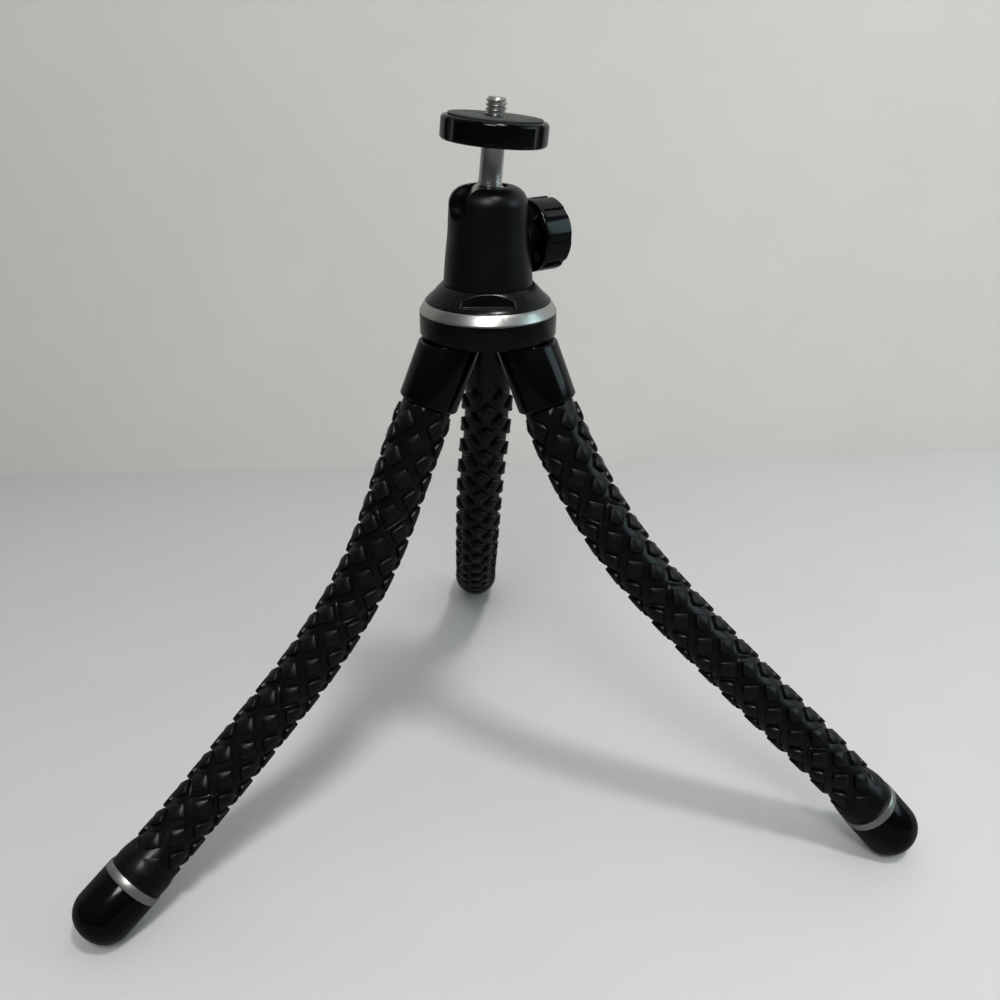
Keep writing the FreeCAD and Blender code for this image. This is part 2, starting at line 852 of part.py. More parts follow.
def make_hub_screws(doc, s, levels):
    """Three socket screws that hold the hub together from below."""
    shank = levels.shoulder - levels.base + s.hub_screw_bite
    foot = s.hub_screw_sink
    screws = []
    for index in range(LEG_COUNT):
        name = f"hub_screw_{index + 1}"
        head = cylinder(doc, f"{name}_head", s.hub_screw_head_radius, s.hub_screw_head, foot)
        stem = cylinder(doc, f"{name}_shank", s.hub_screw_radius, shank - foot, foot)
        key = hexagon(doc, f"{name}_key", s.screw_socket, s.screw_socket_depth, foot)
        screw = cut(doc, name, fuse(doc, f"{name}_solid", [head, stem]), [key])
        turn = Rotation(Z_AXIS, s.front_azimuth.value + 360 / LEG_COUNT * index)
        screw.Placement = Placement(turn.multVec(X_AXIS * (s.hub_radius - s.hub_screw_inset).value), turn)
        screws.append(screw)
    return set_piece(fuse(doc, "hub_screws", screws), "hub_screws", at_height(levels.base))


def make_centre_screw(doc, s, levels):
    """The shoulder screw that the ball head turns on."""
    foot = levels.shoulder - s.centre_screw_bite
    neck = levels.housing + s.plug_height + s.face_gap - foot
    top = neck + s.centre_screw_head
    solid = turned(
        doc,
        "centre_screw_body",
        [
            (0, 0),
            (s.centre_screw_radius, 0),
            (s.centre_screw_radius, neck),
            (s.centre_screw_head_radius, neck),
            (s.centre_screw_head_radius, top),
            (0, top),
        ],
    )
    depth = s.screw_socket_depth
    key = hexagon(doc, "centre_screw_key", s.screw_socket * 2, depth, top - depth)
    return set_piece(cut(doc, "centre_screw", solid, [key]), "centre_screw", at_height(foot))


def make_hub(doc, s, levels):
    return [
        make_hub_base(doc, s, levels),
        make_leg_carrier(doc, s, levels),
        make_hub_ring(doc, s, levels),
        make_hub_shoulder(doc, s, levels),
        make_hub_screws(doc, s, levels),
        make_centre_screw(doc, s, levels),
    ]


# Ball head


def make_housing(doc, s, levels):
    """The housing, turned and domed, with a boss for the knob and a slot that the stem drops into."""
    plug_bore = s.plug_radius + s.fit_gap
    cavity = s.cavity_radius + s.fit_gap
    shelf = ball_height(s) - s.ball_shelf
    body = turned(
        doc,
        "head_housing_body",
        [
            (plug_bore, 0),
            (s.housing_foot_radius, 0),
            (s.housing_low_radius, s.housing_low),
            (s.housing_waist_radius, s.housing_waist),
            (s.housing_top_radius, s.housing_height - s.dome_height),
            (s.housing_top_radius, s.housing_height),
            (s.opening_radius, s.housing_height),
            (s.opening_radius, shelf),
            (cavity, shelf),
            (cavity, s.plug_height),
            (plug_bore, s.plug_height),
        ],
    )
    round_edges(body, "dome", s.dome_round, [s.housing_height])
    sketch = new_sketch(body, "slot_outline", "YZ_Plane")
    centre = ball_height(s) + s.slot_lift
    half = s.slot_width / 2
    draw_polygon(
        sketch,
        [
            (half * -1, centre),
            (half, centre),
            (half, s.housing_height + s.dome_round),
            (half * -1, s.housing_height + s.dome_round),
        ],
    )
    pocket(body, "slot", sketch, upward=False)
    sketch = new_sketch(body, "slot_foot_outline", "YZ_Plane")
    draw_circle(sketch, 0, centre, half)
    pocket(body, "slot_foot", sketch, upward=False)
    boss = doc.addObject("Part::Cylinder", "knob_boss")
    bind(boss, Radius=s.boss_radius, Height=s.boss_reach - s.cavity_radius - s.fit_gap)
    boss.Placement = Placement(Vector(cavity.value, 0, s.knob_height.value), Rotation(Z_AXIS, X_AXIS))
    room = cylinder(doc, "housing_room", cavity, shelf)
    hole = cylinder(doc, "stud_hole", s.stud_radius + s.free_gap, s.boss_reach * 2)
    hole.Placement = Placement(Z_AXIS * s.knob_height.value, Rotation(Z_AXIS, X_AXIS))
    seat = sphere(doc, "ball_room", s.head_ball_radius + s.free_gap, ball_height(s))
    solid = fuse(doc, "head_housing_solid", [body, boss])
    piece = cut(doc, "head_housing", solid, [room, hole, seat])
    place = Placement(Z_AXIS * levels.housing.value, Rotation(Z_AXIS, s.knob_azimuth.value))
    return set_piece(piece, "head_housing", place)


def make_base_plug(doc, s, levels):
    """The plug that closes the housing's foot and turns on the centre screw."""
    plug = turned(
        doc,
        "base_plug_body",
        tube(s.centre_screw_radius + s.free_gap, s.plug_radius, s.plug_height),
    )
    return set_piece(plug, "base_plug", at_height(levels.housing))


def make_seat_spring(doc, s, levels):
    """The disc spring that lifts the ball seat."""
    spring = turned(
        doc,
        "seat_spring_body",
        [
            (s.cavity_radius - s.spring_wall, 0),
            (s.cavity_radius, 0),
            (s.spring_inner_radius + s.spring_wall, s.spring_height),
            (s.spring_inner_radius, s.spring_height),
        ],
    )
    return set_piece(spring, "seat_spring", at_height(levels.housing + s.plug_height))


def make_ball_seat(doc, s, levels):
    """The cup that the ball sits in, which the knob squeezes."""
    foot = s.plug_height + s.spring_height
    blank = cylinder(doc, "ball_seat_blank", s.cavity_radius, ball_height(s) - s.seat_rim - foot)
    ball = sphere(doc, "ball_seat_hollow", s.head_ball_radius + s.free_gap, ball_height(s) - foot)
    return set_piece(cut(doc, "ball_seat", blank, [ball]), "ball_seat", at_height(levels.housing + foot))


def make_ball_stem(doc, s):
    """The ball with its steel stem and the spigot that the platform turns on."""
    spigot_end = s.stem_length + s.spigot_length
    stem = turned(
        doc,
        "stem_body",
        [
            (0, 0),
            (s.stem_radius, 0),
            (s.stem_radius, s.stem_ring_start),
            (s.stem_ring_radius, s.stem_ring_start),
            (s.stem_ring_radius, s.stem_ring_start + s.stem_ring_width),
            (s.stem_radius, s.stem_ring_start + s.stem_ring_width),
            (s.stem_radius, s.stem_length - s.face_gap),
            (s.spigot_radius, s.stem_length - s.face_gap),
            (s.spigot_radius, spigot_end),
            (0, spigot_end),
        ],
    )
    ball = sphere(doc, "ball", s.head_ball_radius)
    tail_room = s.camera_screw_tail + s.spigot_length + s.face_gap
    bore = cylinder(
        doc, "stem_bore", s.camera_screw_tail_radius + s.fit_gap, tail_room, spigot_end - tail_room
    )
    piece = cut(doc, "ball_stem", fuse(doc, "ball_stem_solid", [stem, ball]), [bore])
    return set_piece(piece, "ball_stem", stem_frame(s, 0))


def make_clamp(doc, s):
    """The knob on the side, its stud, the pad that squeezes the seat and the washer under the knob."""
    pad_start = s.cavity_radius + s.face_gap
    pad = cylinder(doc, "clamp_pad_body", s.stud_radius, s.clamp_pad_length)
    stud_start = pad_start + s.clamp_pad_length
    knob_start = s.boss_reach + s.washer_thickness + s.free_gap
    stud = cylinder(doc, "knob_stud_body", s.stud_radius, knob_start + s.stud_depth - stud_start)
    washer = turned(
        doc, "knob_washer_body", tube(s.stud_radius + s.free_gap, s.washer_radius, s.washer_thickness)
    )
    return [
        set_piece(pad, "clamp_pad", knob_frame(s, pad_start)),
        set_piece(stud, "knob_stud", knob_frame(s, stud_start)),
        set_piece(washer, "knob_washer", knob_frame(s, s.boss_reach)),
        make_knob(doc, s, knob_start),
    ]


def make_knob(doc, s, knob_start):
    """The fluted knob, hollow towards the housing."""
    bore = s.stud_radius + s.fit_gap
    depth = s.stud_depth + s.face_gap
    rim = s.knob_radius - s.knob_rim
    body = turned(
        doc,
        "clamp_knob_body",
        [
            (rim, 0),
            (s.knob_radius, 0),
            (s.knob_radius, s.knob_length),
            (0, s.knob_length),
            (0, depth),
            (bore, depth),
            (bore, 0),
            (s.knob_hub_radius, 0),
            (s.knob_hub_radius, s.knob_hollow),
            (rim, s.knob_hollow),
        ],
    )
    round_edges(body, "knob_rounding", s.knob_edge, [s.knob_length, as_size(0)])
    sketch = new_sketch(body, "flute_outline", "XY_Plane", s.flute_start)
    half = s.flute_width / 2
    floor = s.knob_radius - s.flute_depth
    draw_polygon(
        sketch,
        [
            (floor, half * -1),
            (s.knob_radius + s.flute_depth, half * -1),
            (s.knob_radius + s.flute_depth, half),
            (floor, half),
        ],
    )
    flute = pocket(body, "flute", sketch, upward=True)
    repeat_round(body, "flutes", flute, s.flute_count)
    return set_piece(body, "clamp_knob", knob_frame(s, knob_start))


def make_platform(doc, s):
    """The scalloped disc, its rubber pad and the camera screw, which turn together on the stem."""
    spigot_bore = s.spigot_radius + s.free_gap
    head_bore = s.camera_screw_head_radius + s.fit_gap
    shelf = s.spigot_length + s.face_gap
    disc = turned(
        doc,
        "platform_disc_body",
        [
            (spigot_bore, 0),
            (s.disc_radius, 0),
            (s.disc_radius, s.disc_thickness),
            (head_bore, s.disc_thickness),
            (head_bore, shelf),
            (spigot_bore, shelf),
        ],
    )
    round_edges(disc, "disc_rounding", s.disc_edge, [as_size(0), s.disc_thickness])
    sketch = new_sketch(disc, "scallop_outline", "XY_Plane")
    draw_circle(sketch, s.disc_radius + s.scallop_radius - s.scallop_depth, 0, s.scallop_radius)
    scallop = pocket(disc, "scallop", sketch, upward=True)
    repeat_round(disc, "scallops", scallop, s.scallop_count)
    pad_bore = s.camera_screw_radius + s.free_gap
    pad = turned(doc, "platform_pad_body", tube(pad_bore, s.pad_radius, s.pad_thickness))
    pad_start = s.stem_length + s.disc_thickness
    return [
        set_piece(disc, "platform_disc", stem_frame(s, s.stem_length)),
        set_piece(pad, "platform_pad", stem_frame(s, pad_start)),
        make_camera_screw(doc, s, shelf),
    ]


def make_camera_screw(doc, s, shelf):
    """The quarter-inch camera screw, with its head in the disc and a tail in the stem."""
    head = s.camera_screw_tail + shelf
    face = s.camera_screw_tail + s.disc_thickness
    neck = face + s.pad_thickness + s.camera_screw_neck
    tip = face + s.pad_thickness + s.camera_screw_reach
    screw = turned(
        doc,
        "camera_screw_body",
        [
            (0, 0),
            (s.camera_screw_tail_radius, 0),
            (s.camera_screw_tail_radius, head),
            (s.camera_screw_head_radius, head),
            (s.camera_screw_head_radius, face),
            (s.camera_screw_neck_radius, face),
            (s.camera_screw_neck_radius, neck),
            (s.camera_screw_radius, neck),
            (s.camera_screw_radius, tip - s.camera_screw_tip),
            (s.camera_screw_radius - s.camera_screw_tip, tip),
            (0, tip),
        ],
    )
    return set_piece(screw, "camera_screw", stem_frame(s, s.stem_length - s.camera_screw_tail))


def make_head(doc, s, levels):
    return [
        make_housing(doc, s, levels),
        make_base_plug(doc, s, levels),
        make_seat_spring(doc, s, levels),
        make_ball_seat(doc, s, levels),
        make_ball_stem(doc, s),
        *make_clamp(doc, s),
        *make_platform(doc, s),
    ]


# The whole part


def move_to_middle(pieces):
    """Moves every piece so that the middle of the outline stands over the origin."""
    box = FreeCAD.BoundBox()
    for piece in pieces:
        box.add(piece.Shape.optimalBoundingBox(False, False))
    shift = Vector(-box.Center.x, -box.Center.y, 0)
    for piece in pieces:
        piece.Placement.Base += shift
    return shift


def check(doc, pieces):
    """Stops if any object failed or any piece isn't a sound solid."""
    broken = [obj.Name for obj in doc.Objects if "Invalid" in obj.State or "Error" in obj.State]
    if broken:
        raise RuntimeError(f"these objects failed: {broken}")
    for piece in pieces:
        shape = piece.Shape
        if shape.isNull() or not shape.isValid() or not shape.Solids:
            raise RuntimeError(f"{piece.Label} is not a sound solid")


def build():
    """Makes the document and gives back its pieces, the legs as they stand and the final shift."""
    doc = FreeCAD.newDocument("CameraTripod")
    s = write_sheet(doc)
    levels = hub_levels(s)
    walks = {side: stand_leg(s, leg) for side, leg in LEGS.items()}
    pieces = make_hub(doc, s, levels) + make_head(doc, s, levels)
    for side, walk in walks.items():
        pieces += make_leg(doc, s, side, walk)
    doc.recompute()
    shift = move_to_middle(pieces)
    doc.recompute()
    check(doc, pieces)
    return SimpleNamespace(doc=doc, sizes=s, levels=levels, walks=walks, pieces=pieces, shift=shift)


def main():
    model = build()
    os.makedirs("parts", exist_ok=True)
    for piece in model.pieces:
        piece.Shape.exportStep(os.path.join("parts", f"{piece.Label}.step"))
    print(f"{len(model.pieces)} pieces written")


if __name__ == "__main__":
    main()
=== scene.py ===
import json
import math

import bmesh
import bpy
from mathutils import Matrix, Vector


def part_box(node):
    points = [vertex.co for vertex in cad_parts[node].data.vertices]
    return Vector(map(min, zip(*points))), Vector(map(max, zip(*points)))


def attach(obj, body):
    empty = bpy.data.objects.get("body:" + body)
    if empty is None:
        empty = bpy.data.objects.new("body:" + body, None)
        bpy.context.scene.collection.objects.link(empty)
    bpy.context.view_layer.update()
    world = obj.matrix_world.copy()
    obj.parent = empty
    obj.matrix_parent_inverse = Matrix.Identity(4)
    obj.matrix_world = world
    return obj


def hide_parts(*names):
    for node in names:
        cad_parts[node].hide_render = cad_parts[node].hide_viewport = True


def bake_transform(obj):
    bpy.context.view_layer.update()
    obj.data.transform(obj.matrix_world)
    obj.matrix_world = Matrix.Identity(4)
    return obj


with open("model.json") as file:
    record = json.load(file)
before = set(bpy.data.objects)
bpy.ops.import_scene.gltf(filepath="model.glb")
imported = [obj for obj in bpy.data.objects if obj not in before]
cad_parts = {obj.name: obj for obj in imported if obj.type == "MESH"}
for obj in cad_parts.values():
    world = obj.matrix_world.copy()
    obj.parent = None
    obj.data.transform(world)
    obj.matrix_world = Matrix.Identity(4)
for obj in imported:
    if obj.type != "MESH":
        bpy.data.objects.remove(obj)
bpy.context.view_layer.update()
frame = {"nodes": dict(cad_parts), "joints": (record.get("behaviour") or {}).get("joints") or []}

bl_info = {
    "name": "Flexible Camera Tripod",
    "version": (1, 0, 0),
    "blender": (4, 5, 0),
    "location": "View3D > Sidebar > Tripod",
    "description": "Dresses the small camera tripod: ribbed legs, feet, hub, ball head and platform",
    "category": "Object",
}

MM = 0.001
SIDES = ("left", "right", "back")
SECTIONS = 5  # sleeve sections, hinges and moving links in each leg
STRAIGHT = 1e-4  # a smaller bend, in radians, is drawn straight
UP = Vector((0, 0, 1))
JOINTS = {joint["name"]: joint for joint in frame["joints"]}


# Places on the frame


def middle(node):
    """The middle of a CAD node's box."""
    low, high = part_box(node)
    return (low + high) / 2


def joint_point(name):
    return Vector(JOINTS[name]["pos_m"])


def joint_axis(name):
    return Vector(JOINTS[name]["axis"]).normalized()


def standing_on(point, direction, facing=UP):
    """A placement at a point whose Z runs along a direction and whose X leans towards another."""
    z_axis = direction.normalized()
    x_axis = (facing - z_axis * facing.dot(z_axis)).normalized()
    turn = Matrix((x_axis, z_axis.cross(x_axis), z_axis)).transposed()
    return Matrix.Translation(point) @ turn.to_4x4()


HUB = middle("hub_base")
HUB_FLOOR = Vector((HUB.x, HUB.y, 0))
BALL = joint_point("ball_tilt")
STEM = standing_on(BALL, joint_axis("platform_spin"), Vector((1, 0, 0)))
KNOB = standing_on(joint_point("knob_turn"), joint_axis("knob_turn"))


class LegLine:
    """The middle line of a leg: one even arc for each sleeve section, and straight on past both ends."""

    def __init__(self, side):
        hinges = [joint_point(f"{side}_bend_{number + 1}") for number in range(SECTIONS)]
        self.link = (hinges[1] - hinges[0]).length
        root = math.radians(sleeve_sizes().leg_root[SIDES.index(side)])
        tilt = math.radians(sleeve_sizes().collar_tilt)
        first = Vector((math.sin(tilt) * math.cos(root), math.sin(tilt) * math.sin(root), -math.cos(tilt)))
        last = (middle(f"{side}_foot_ring") - hinges[-1]).normalized()
        ways = [first]
        ways += [(after - before).normalized() for before, after in zip(hinges, hinges[1:])]
        ways.append(last)
        self.ways = ways
        self.starts = [hinge - way * self.link / 2 for hinge, way in zip(hinges, ways)]
        self.starts.append(hinges[-1] + last * self.link / 2)
        self.length = self.link * SECTIONS
        frame_now = standing_on(self.starts[0], first, Vector((0, -1, 0)))
        self.frames = [frame_now]
        for number in range(SECTIONS):
            frame_now = self.turned(number, 1.0) @ frame_now
            self.frames.append(frame_now)

    def turned(self, number, share):
        """The motion along one section's arc, from its start to a share of its bend."""
        way, next_way, start = self.ways[number], self.ways[number + 1], self.starts[number]
        bend = way.angle(next_way)
        if bend < STRAIGHT:
            return Matrix.Translation(way * self.link * share)
        inward = (next_way - way * next_way.dot(way)).normalized()
        centre = start + inward * (self.link / 2 / math.tan(bend / 2))
        spin = Matrix.Rotation(bend * share, 4, way.cross(inward))
        return Matrix.Translation(centre) @ spin @ Matrix.Translation(-centre)

    def at(self, along):
        """The placement at a distance along the leg, with Z running down the leg."""
        number = min(max(int(along // self.link), 0), SECTIONS - 1)
        share = along / self.link - number
        if share < 0:
            return Matrix.Translation(self.ways[0] * along) @ self.frames[0]
        if share > 1:
            beyond = along - self.length
            return Matrix.Translation(self.ways[-1] * beyond) @ self.frames[-1]
        return self.turned(number, share) @ self.frames[number]


# Settings that a user would change


class SleeveSettings(bpy.types.PropertyGroup):
    """Sizes of the rubber sleeves and their diamond pads."""

    leg_root: bpy.props.FloatVectorProperty(
        name="Leg roots", description="Azimuth of the left, right and back leg at the hub, in degrees",
        size=3, default=(211.0, 331.0, 91.0),
    )
    collar_tilt: bpy.props.FloatProperty(
        name="Collar tilt", description="Tilt of the collars off the upright, in degrees", default=24.0,
    )
    pads_round: bpy.props.IntProperty(
        name="Pads round", description="Pads in one row round the leg", default=5, min=3,
    )
    row_step: bpy.props.FloatProperty(
        name="Row step", description="Distance from one row of pads to the next", default=5.9 * MM,
        unit="LENGTH", subtype="DISTANCE",
    )
    groove_radius: bpy.props.FloatProperty(
        name="Groove radius", description="Radius at the floor of the grooves", default=7.95 * MM,
        unit="LENGTH", subtype="DISTANCE",
    )
    pad_radius: bpy.props.FloatProperty(
        name="Pad radius", description="Radius at the face of the pads", default=9.2 * MM,
        unit="LENGTH", subtype="DISTANCE",
    )
    cuff_radius: bpy.props.FloatProperty(
        name="Cuff radius", description="Radius of the smooth cuff above the foot ring", default=9.75 * MM,
        unit="LENGTH", subtype="DISTANCE",
    )
    cuff_length: bpy.props.FloatProperty(
        name="Cuff length", description="Length over which the sleeve swells into the cuff", default=14 * MM,
        unit="LENGTH", subtype="DISTANCE",
    )
    plain_band: bpy.props.FloatProperty(
        name="Plain band", description="Length of sleeve without pads below the collar", default=5 * MM,
        unit="LENGTH", subtype="DISTANCE",
    )
    wall: bpy.props.FloatProperty(
        name="Wall", description="Thickness of the rubber", default=0.7 * MM,
        unit="LENGTH", subtype="DISTANCE",
    )


class FinishSettings(bpy.types.PropertyGroup):
    """Colours of the finishes, as linear light."""

    rubber: bpy.props.FloatVectorProperty(
        name="Rubber", description="Colour of the leg sleeves", subtype="COLOR", size=3,
        default=(0.0013, 0.0013, 0.0016),
    )
    gloss_black: bpy.props.FloatVectorProperty(
        name="Gloss black", description="Colour of collars, caps and knob", subtype="COLOR", size=3,
        default=(0.0006, 0.0006, 0.0009),
    )
    satin_black: bpy.props.FloatVectorProperty(
        name="Satin black", description="Colour of the hub and the housing", subtype="COLOR", size=3,
        default=(0.0011, 0.0011, 0.0014),
    )
    bright_metal: bpy.props.FloatVectorProperty(
        name="Bright metal", description="Colour of the rings, the stem and the screws", subtype="COLOR",
        size=3, default=(0.56, 0.555, 0.54),
    )
    pad_grey: bpy.props.FloatVectorProperty(
        name="Pad grey", description="Colour of the rubber pad on the platform", subtype="COLOR", size=3,
        default=(0.035, 0.042, 0.036),
    )


class StageSettings(bpy.types.PropertyGroup):
    """The table, the wall, the lamps and the camera."""

    camera_offset: bpy.props.FloatVectorProperty(
        name="Camera place", description="Camera from the foot of the hub's axis", subtype="TRANSLATION",
        unit="LENGTH", size=3, default=(5.191 * MM, -309.287 * MM, 268 * MM),
    )
    camera_pitch: bpy.props.FloatProperty(
        name="Camera pitch", description="Angle from straight down, in degrees", default=64.5,
    )
    camera_roll: bpy.props.FloatProperty(
        name="Camera roll", description="Turn about the view's own axis, in degrees", default=0.44,
    )
    camera_turn: bpy.props.FloatProperty(
        name="Camera turn", description="Turn to the left, in degrees", default=0.18,
    )
    wall_distance: bpy.props.FloatProperty(
        name="Wall distance", description="From the hub's axis back to the wall", default=0.3085,
        unit="LENGTH", subtype="DISTANCE",
    )
    wall_turn: bpy.props.FloatProperty(
        name="Wall turn", description="Turn of the wall from square to the view, in degrees", default=4.7,
    )
    table_tone: bpy.props.FloatVectorProperty(
        name="Table tone", description="Colour of the table", subtype="COLOR", size=3,
        default=(0.67, 0.67, 0.665),
    )
    wall_tone: bpy.props.FloatVectorProperty(
        name="Wall tone", description="Colour of the wall", subtype="COLOR", size=3,
        default=(0.725, 0.708, 0.68),
    )
    room_light: bpy.props.FloatProperty(
        name="Room light", description="Strength of the even light of the room", default=0.5, min=0,
    )


def sleeve_sizes():
    return bpy.context.scene.tripod_sleeves


def finishes():
    return bpy.context.scene.tripod_finishes


# Node groups shared by the finishes


def add_node(tree, kind, inputs=None, **settings):
    """A node with its settings, and its inputs linked or set."""
    node = tree.nodes.new(kind)
    for name, value in settings.items():
        setattr(node, name, value)
    for socket, value in (inputs or {}).items():
        if isinstance(value, bpy.types.NodeSocket):
            tree.links.new(value, node.inputs[socket])
        else:
            node.inputs[socket].default_value = value
    return node


def calculate(tree, operation, *values):
    """The result of a Math node."""
    return add_node(tree, "ShaderNodeMath", dict(enumerate(values)), operation=operation).outputs[0]


def spread(tree, value, low, high, to_low, to_high):
    """A value moved from one range to another and kept inside it."""
    inputs = {"Value": value, "From Min": low, "From Max": high, "To Min": to_low, "To Max": to_high}
    return add_node(tree, "ShaderNodeMapRange", inputs).outputs["Result"]


def blend_colours(tree, share, first, second):
    """A mix of two colours."""
    inputs = {0: share, 6: first, 7: second}
    return add_node(tree, "ShaderNodeMix", inputs, data_type="RGBA").outputs[2]


def new_group(name, inputs, outputs):
    """A node group with named sockets, and its input and output nodes."""
    group = bpy.data.node_groups.new(name, "ShaderNodeTree")
    for socket, (kind, default) in inputs.items():
        made = group.interface.new_socket(name=socket, in_out="INPUT", socket_type=kind)
        if default is not None:
            made.default_value = default
    for socket, kind in outputs.items():
        group.interface.new_socket(name=socket, in_out="OUTPUT", socket_type=kind)
    return group, group.nodes.new("NodeGroupInput"), group.nodes.new("NodeGroupOutput")


def noise(tree, place, scale, detail=2.0, rough=0.5):
    inputs = {"Vector": place, "Scale": scale, "Detail": detail, "Roughness": rough}
    return add_node(tree, "ShaderNodeTexNoise", inputs).outputs["Fac"]


def make_grain_group():
    """Fine moulded or painted grain: a height, and a slower mottle for colour."""
    group, given, result = new_group(
        "Fine grain",
        {
            "Place": ("NodeSocketVector", None),
            "Grain Scale": ("NodeSocketFloat", 6000.0),
            "Mottle Scale": ("NodeSocketFloat", 220.0),
        },
        {"Height": "NodeSocketFloat", "Mottle": "NodeSocketFloat"},
    )
    place = given.outputs["Place"]
    fine = noise(group, place, given.outputs["Grain Scale"], 2.0, 0.55)
    cells = add_node(
        group, "ShaderNodeTexVoronoi", {"Vector": place, "Scale": given.outputs["Grain Scale"]}
    ).outputs["Distance"]
    height = calculate(group, "MULTIPLY_ADD", cells, 0.5, fine)
    mottle = noise(group, place, given.outputs["Mottle Scale"], 3.0, 0.6)
    group.links.new(height, result.inputs["Height"])
    group.links.new(mottle, result.inputs["Mottle"])
    return group


def make_turning_group():
    """Marks that run round a turned piece, from its own place about its axis."""
    group, given, result = new_group(
        "Turning marks",
        {
            "Own Place": ("NodeSocketVector", None),
            "Fineness": ("NodeSocketFloat", 9000.0),
            "Length": ("NodeSocketFloat", 2.0),
        },
        {"Height": "NodeSocketFloat", "Streak": "NodeSocketFloat"},
    )
    parts = add_node(group, "ShaderNodeSeparateXYZ", {0: given.outputs["Own Place"]}).outputs
    square = calculate(group, "MULTIPLY", parts["X"], parts["X"])
    reach = calculate(group, "SQRT", calculate(group, "MULTIPLY_ADD", parts["Y"], parts["Y"], square))
    safe = calculate(group, "MAXIMUM", reach, 1e-6)
    scale = calculate(group, "DIVIDE", given.outputs["Length"], safe)
    round_x = calculate(group, "MULTIPLY", parts["X"], scale)
    round_y = calculate(group, "MULTIPLY", parts["Y"], scale)
    along = calculate(group, "MULTIPLY", parts["Z"], given.outputs["Fineness"])
    across = calculate(group, "MULTIPLY", reach, given.outputs["Fineness"])
    place = add_node(group, "ShaderNodeCombineXYZ", {0: round_x, 1: round_y, 2: along}).outputs[0]
    marks = add_node(
        group, "ShaderNodeTexNoise",
        {"Vector": place, "W": across, "Scale": 1.0, "Detail": 3.0, "Roughness": 0.65},
        noise_dimensions="4D",
    ).outputs["Fac"]
    group.links.new(marks, result.inputs["Height"])
    group.links.new(spread(group, marks, 0.3, 0.7, 0.0, 1.0), result.inputs["Streak"])
    return group


def make_handling_group():
    """Slow smears and dull spots that handling leaves, for roughness."""
    group, given, result = new_group(
        "Handling",
        {
            "Place": ("NodeSocketVector", None),
            "Scale": ("NodeSocketFloat", 60.0),
            "Low": ("NodeSocketFloat", 0.1),
            "High": ("NodeSocketFloat", 0.3),
        },
        {"Roughness": "NodeSocketFloat"},
    )
    slow = noise(group, given.outputs["Place"], given.outputs["Scale"], 4.0, 0.6)
    smeared = spread(group, slow, 0.3, 0.7, given.outputs["Low"], given.outputs["High"])
    group.links.new(smeared, result.inputs["Roughness"])
    return group


def make_dust_group():
    """Specks of dust, a mask from 0 to 1."""
    group, given, result = new_group(
        "Dust",
        {
            "Place": ("NodeSocketVector", None),
            "Speck Scale": ("NodeSocketFloat", 900.0),
            "Amount": ("NodeSocketFloat", 0.3),
        },
        {"Mask": "NodeSocketFloat"},
    )
    place = given.outputs["Place"]
    specks = noise(group, place, given.outputs["Speck Scale"], 5.0, 0.75)
    patches = noise(group, place, 90.0, 2.0, 0.5)
    near = spread(group, patches, 0.35, 0.75, 0.2, 1.0)
    share = calculate(group, "MULTIPLY", spread(group, specks, 0.56, 0.74, 0.0, 1.0), near)
    mask = calculate(group, "MULTIPLY", share, given.outputs["Amount"])
    group.links.new(mask, result.inputs["Mask"])
    return group


GROUP_MAKERS = {
    "Fine grain": make_grain_group,
    "Turning marks": make_turning_group,
    "Handling": make_handling_group,
    "Dust": make_dust_group,
}


def use_group(tree, name, inputs):
    """A shared group placed in a material with its own values."""
    group = bpy.data.node_groups.get(name) or GROUP_MAKERS[name]()
    return add_node(tree, "ShaderNodeGroup", inputs, node_tree=group).outputs


# Finishes


def start_finish(name, **uniform):
    """A material, its node tree and its shader, with the values that are the same all over."""
    material = bpy.data.materials.new(f"tripod_{name}")
    material.use_nodes = True
    tree = material.node_tree
    shader = tree.nodes["Principled BSDF"]
    for socket, value in uniform.items():
        shader.inputs[socket.replace("_", " ")].default_value = value
    return material, tree, shader


def object_place(tree):
    return tree.nodes.new("ShaderNodeTexCoord").outputs["Object"]


def own_place(tree):
    """The place about the piece's own axis, kept on its vertices."""
    return add_node(tree, "ShaderNodeAttribute", attribute_name="own_place").outputs["Vector"]


def vertex_value(tree, name):
    return add_node(tree, "ShaderNodeAttribute", attribute_name=name).outputs["Fac"]


def bump(tree, height, distance, strength=1.0):
    inputs = {"Height": height, "Distance": distance, "Strength": strength}
    return add_node(tree, "ShaderNodeBump", inputs).outputs["Normal"]


def tone(colour, factor=1.0):
    return (*[part * factor for part in colour], 1.0)


def cover(tree, shader, colour, rough, normal):
    """Feeds a finish's colour, roughness and normal to its shader."""
    for socket, value in (("Base Color", colour), ("Roughness", rough), ("Normal", normal)):
        tree.links.new(value, shader.inputs[socket])


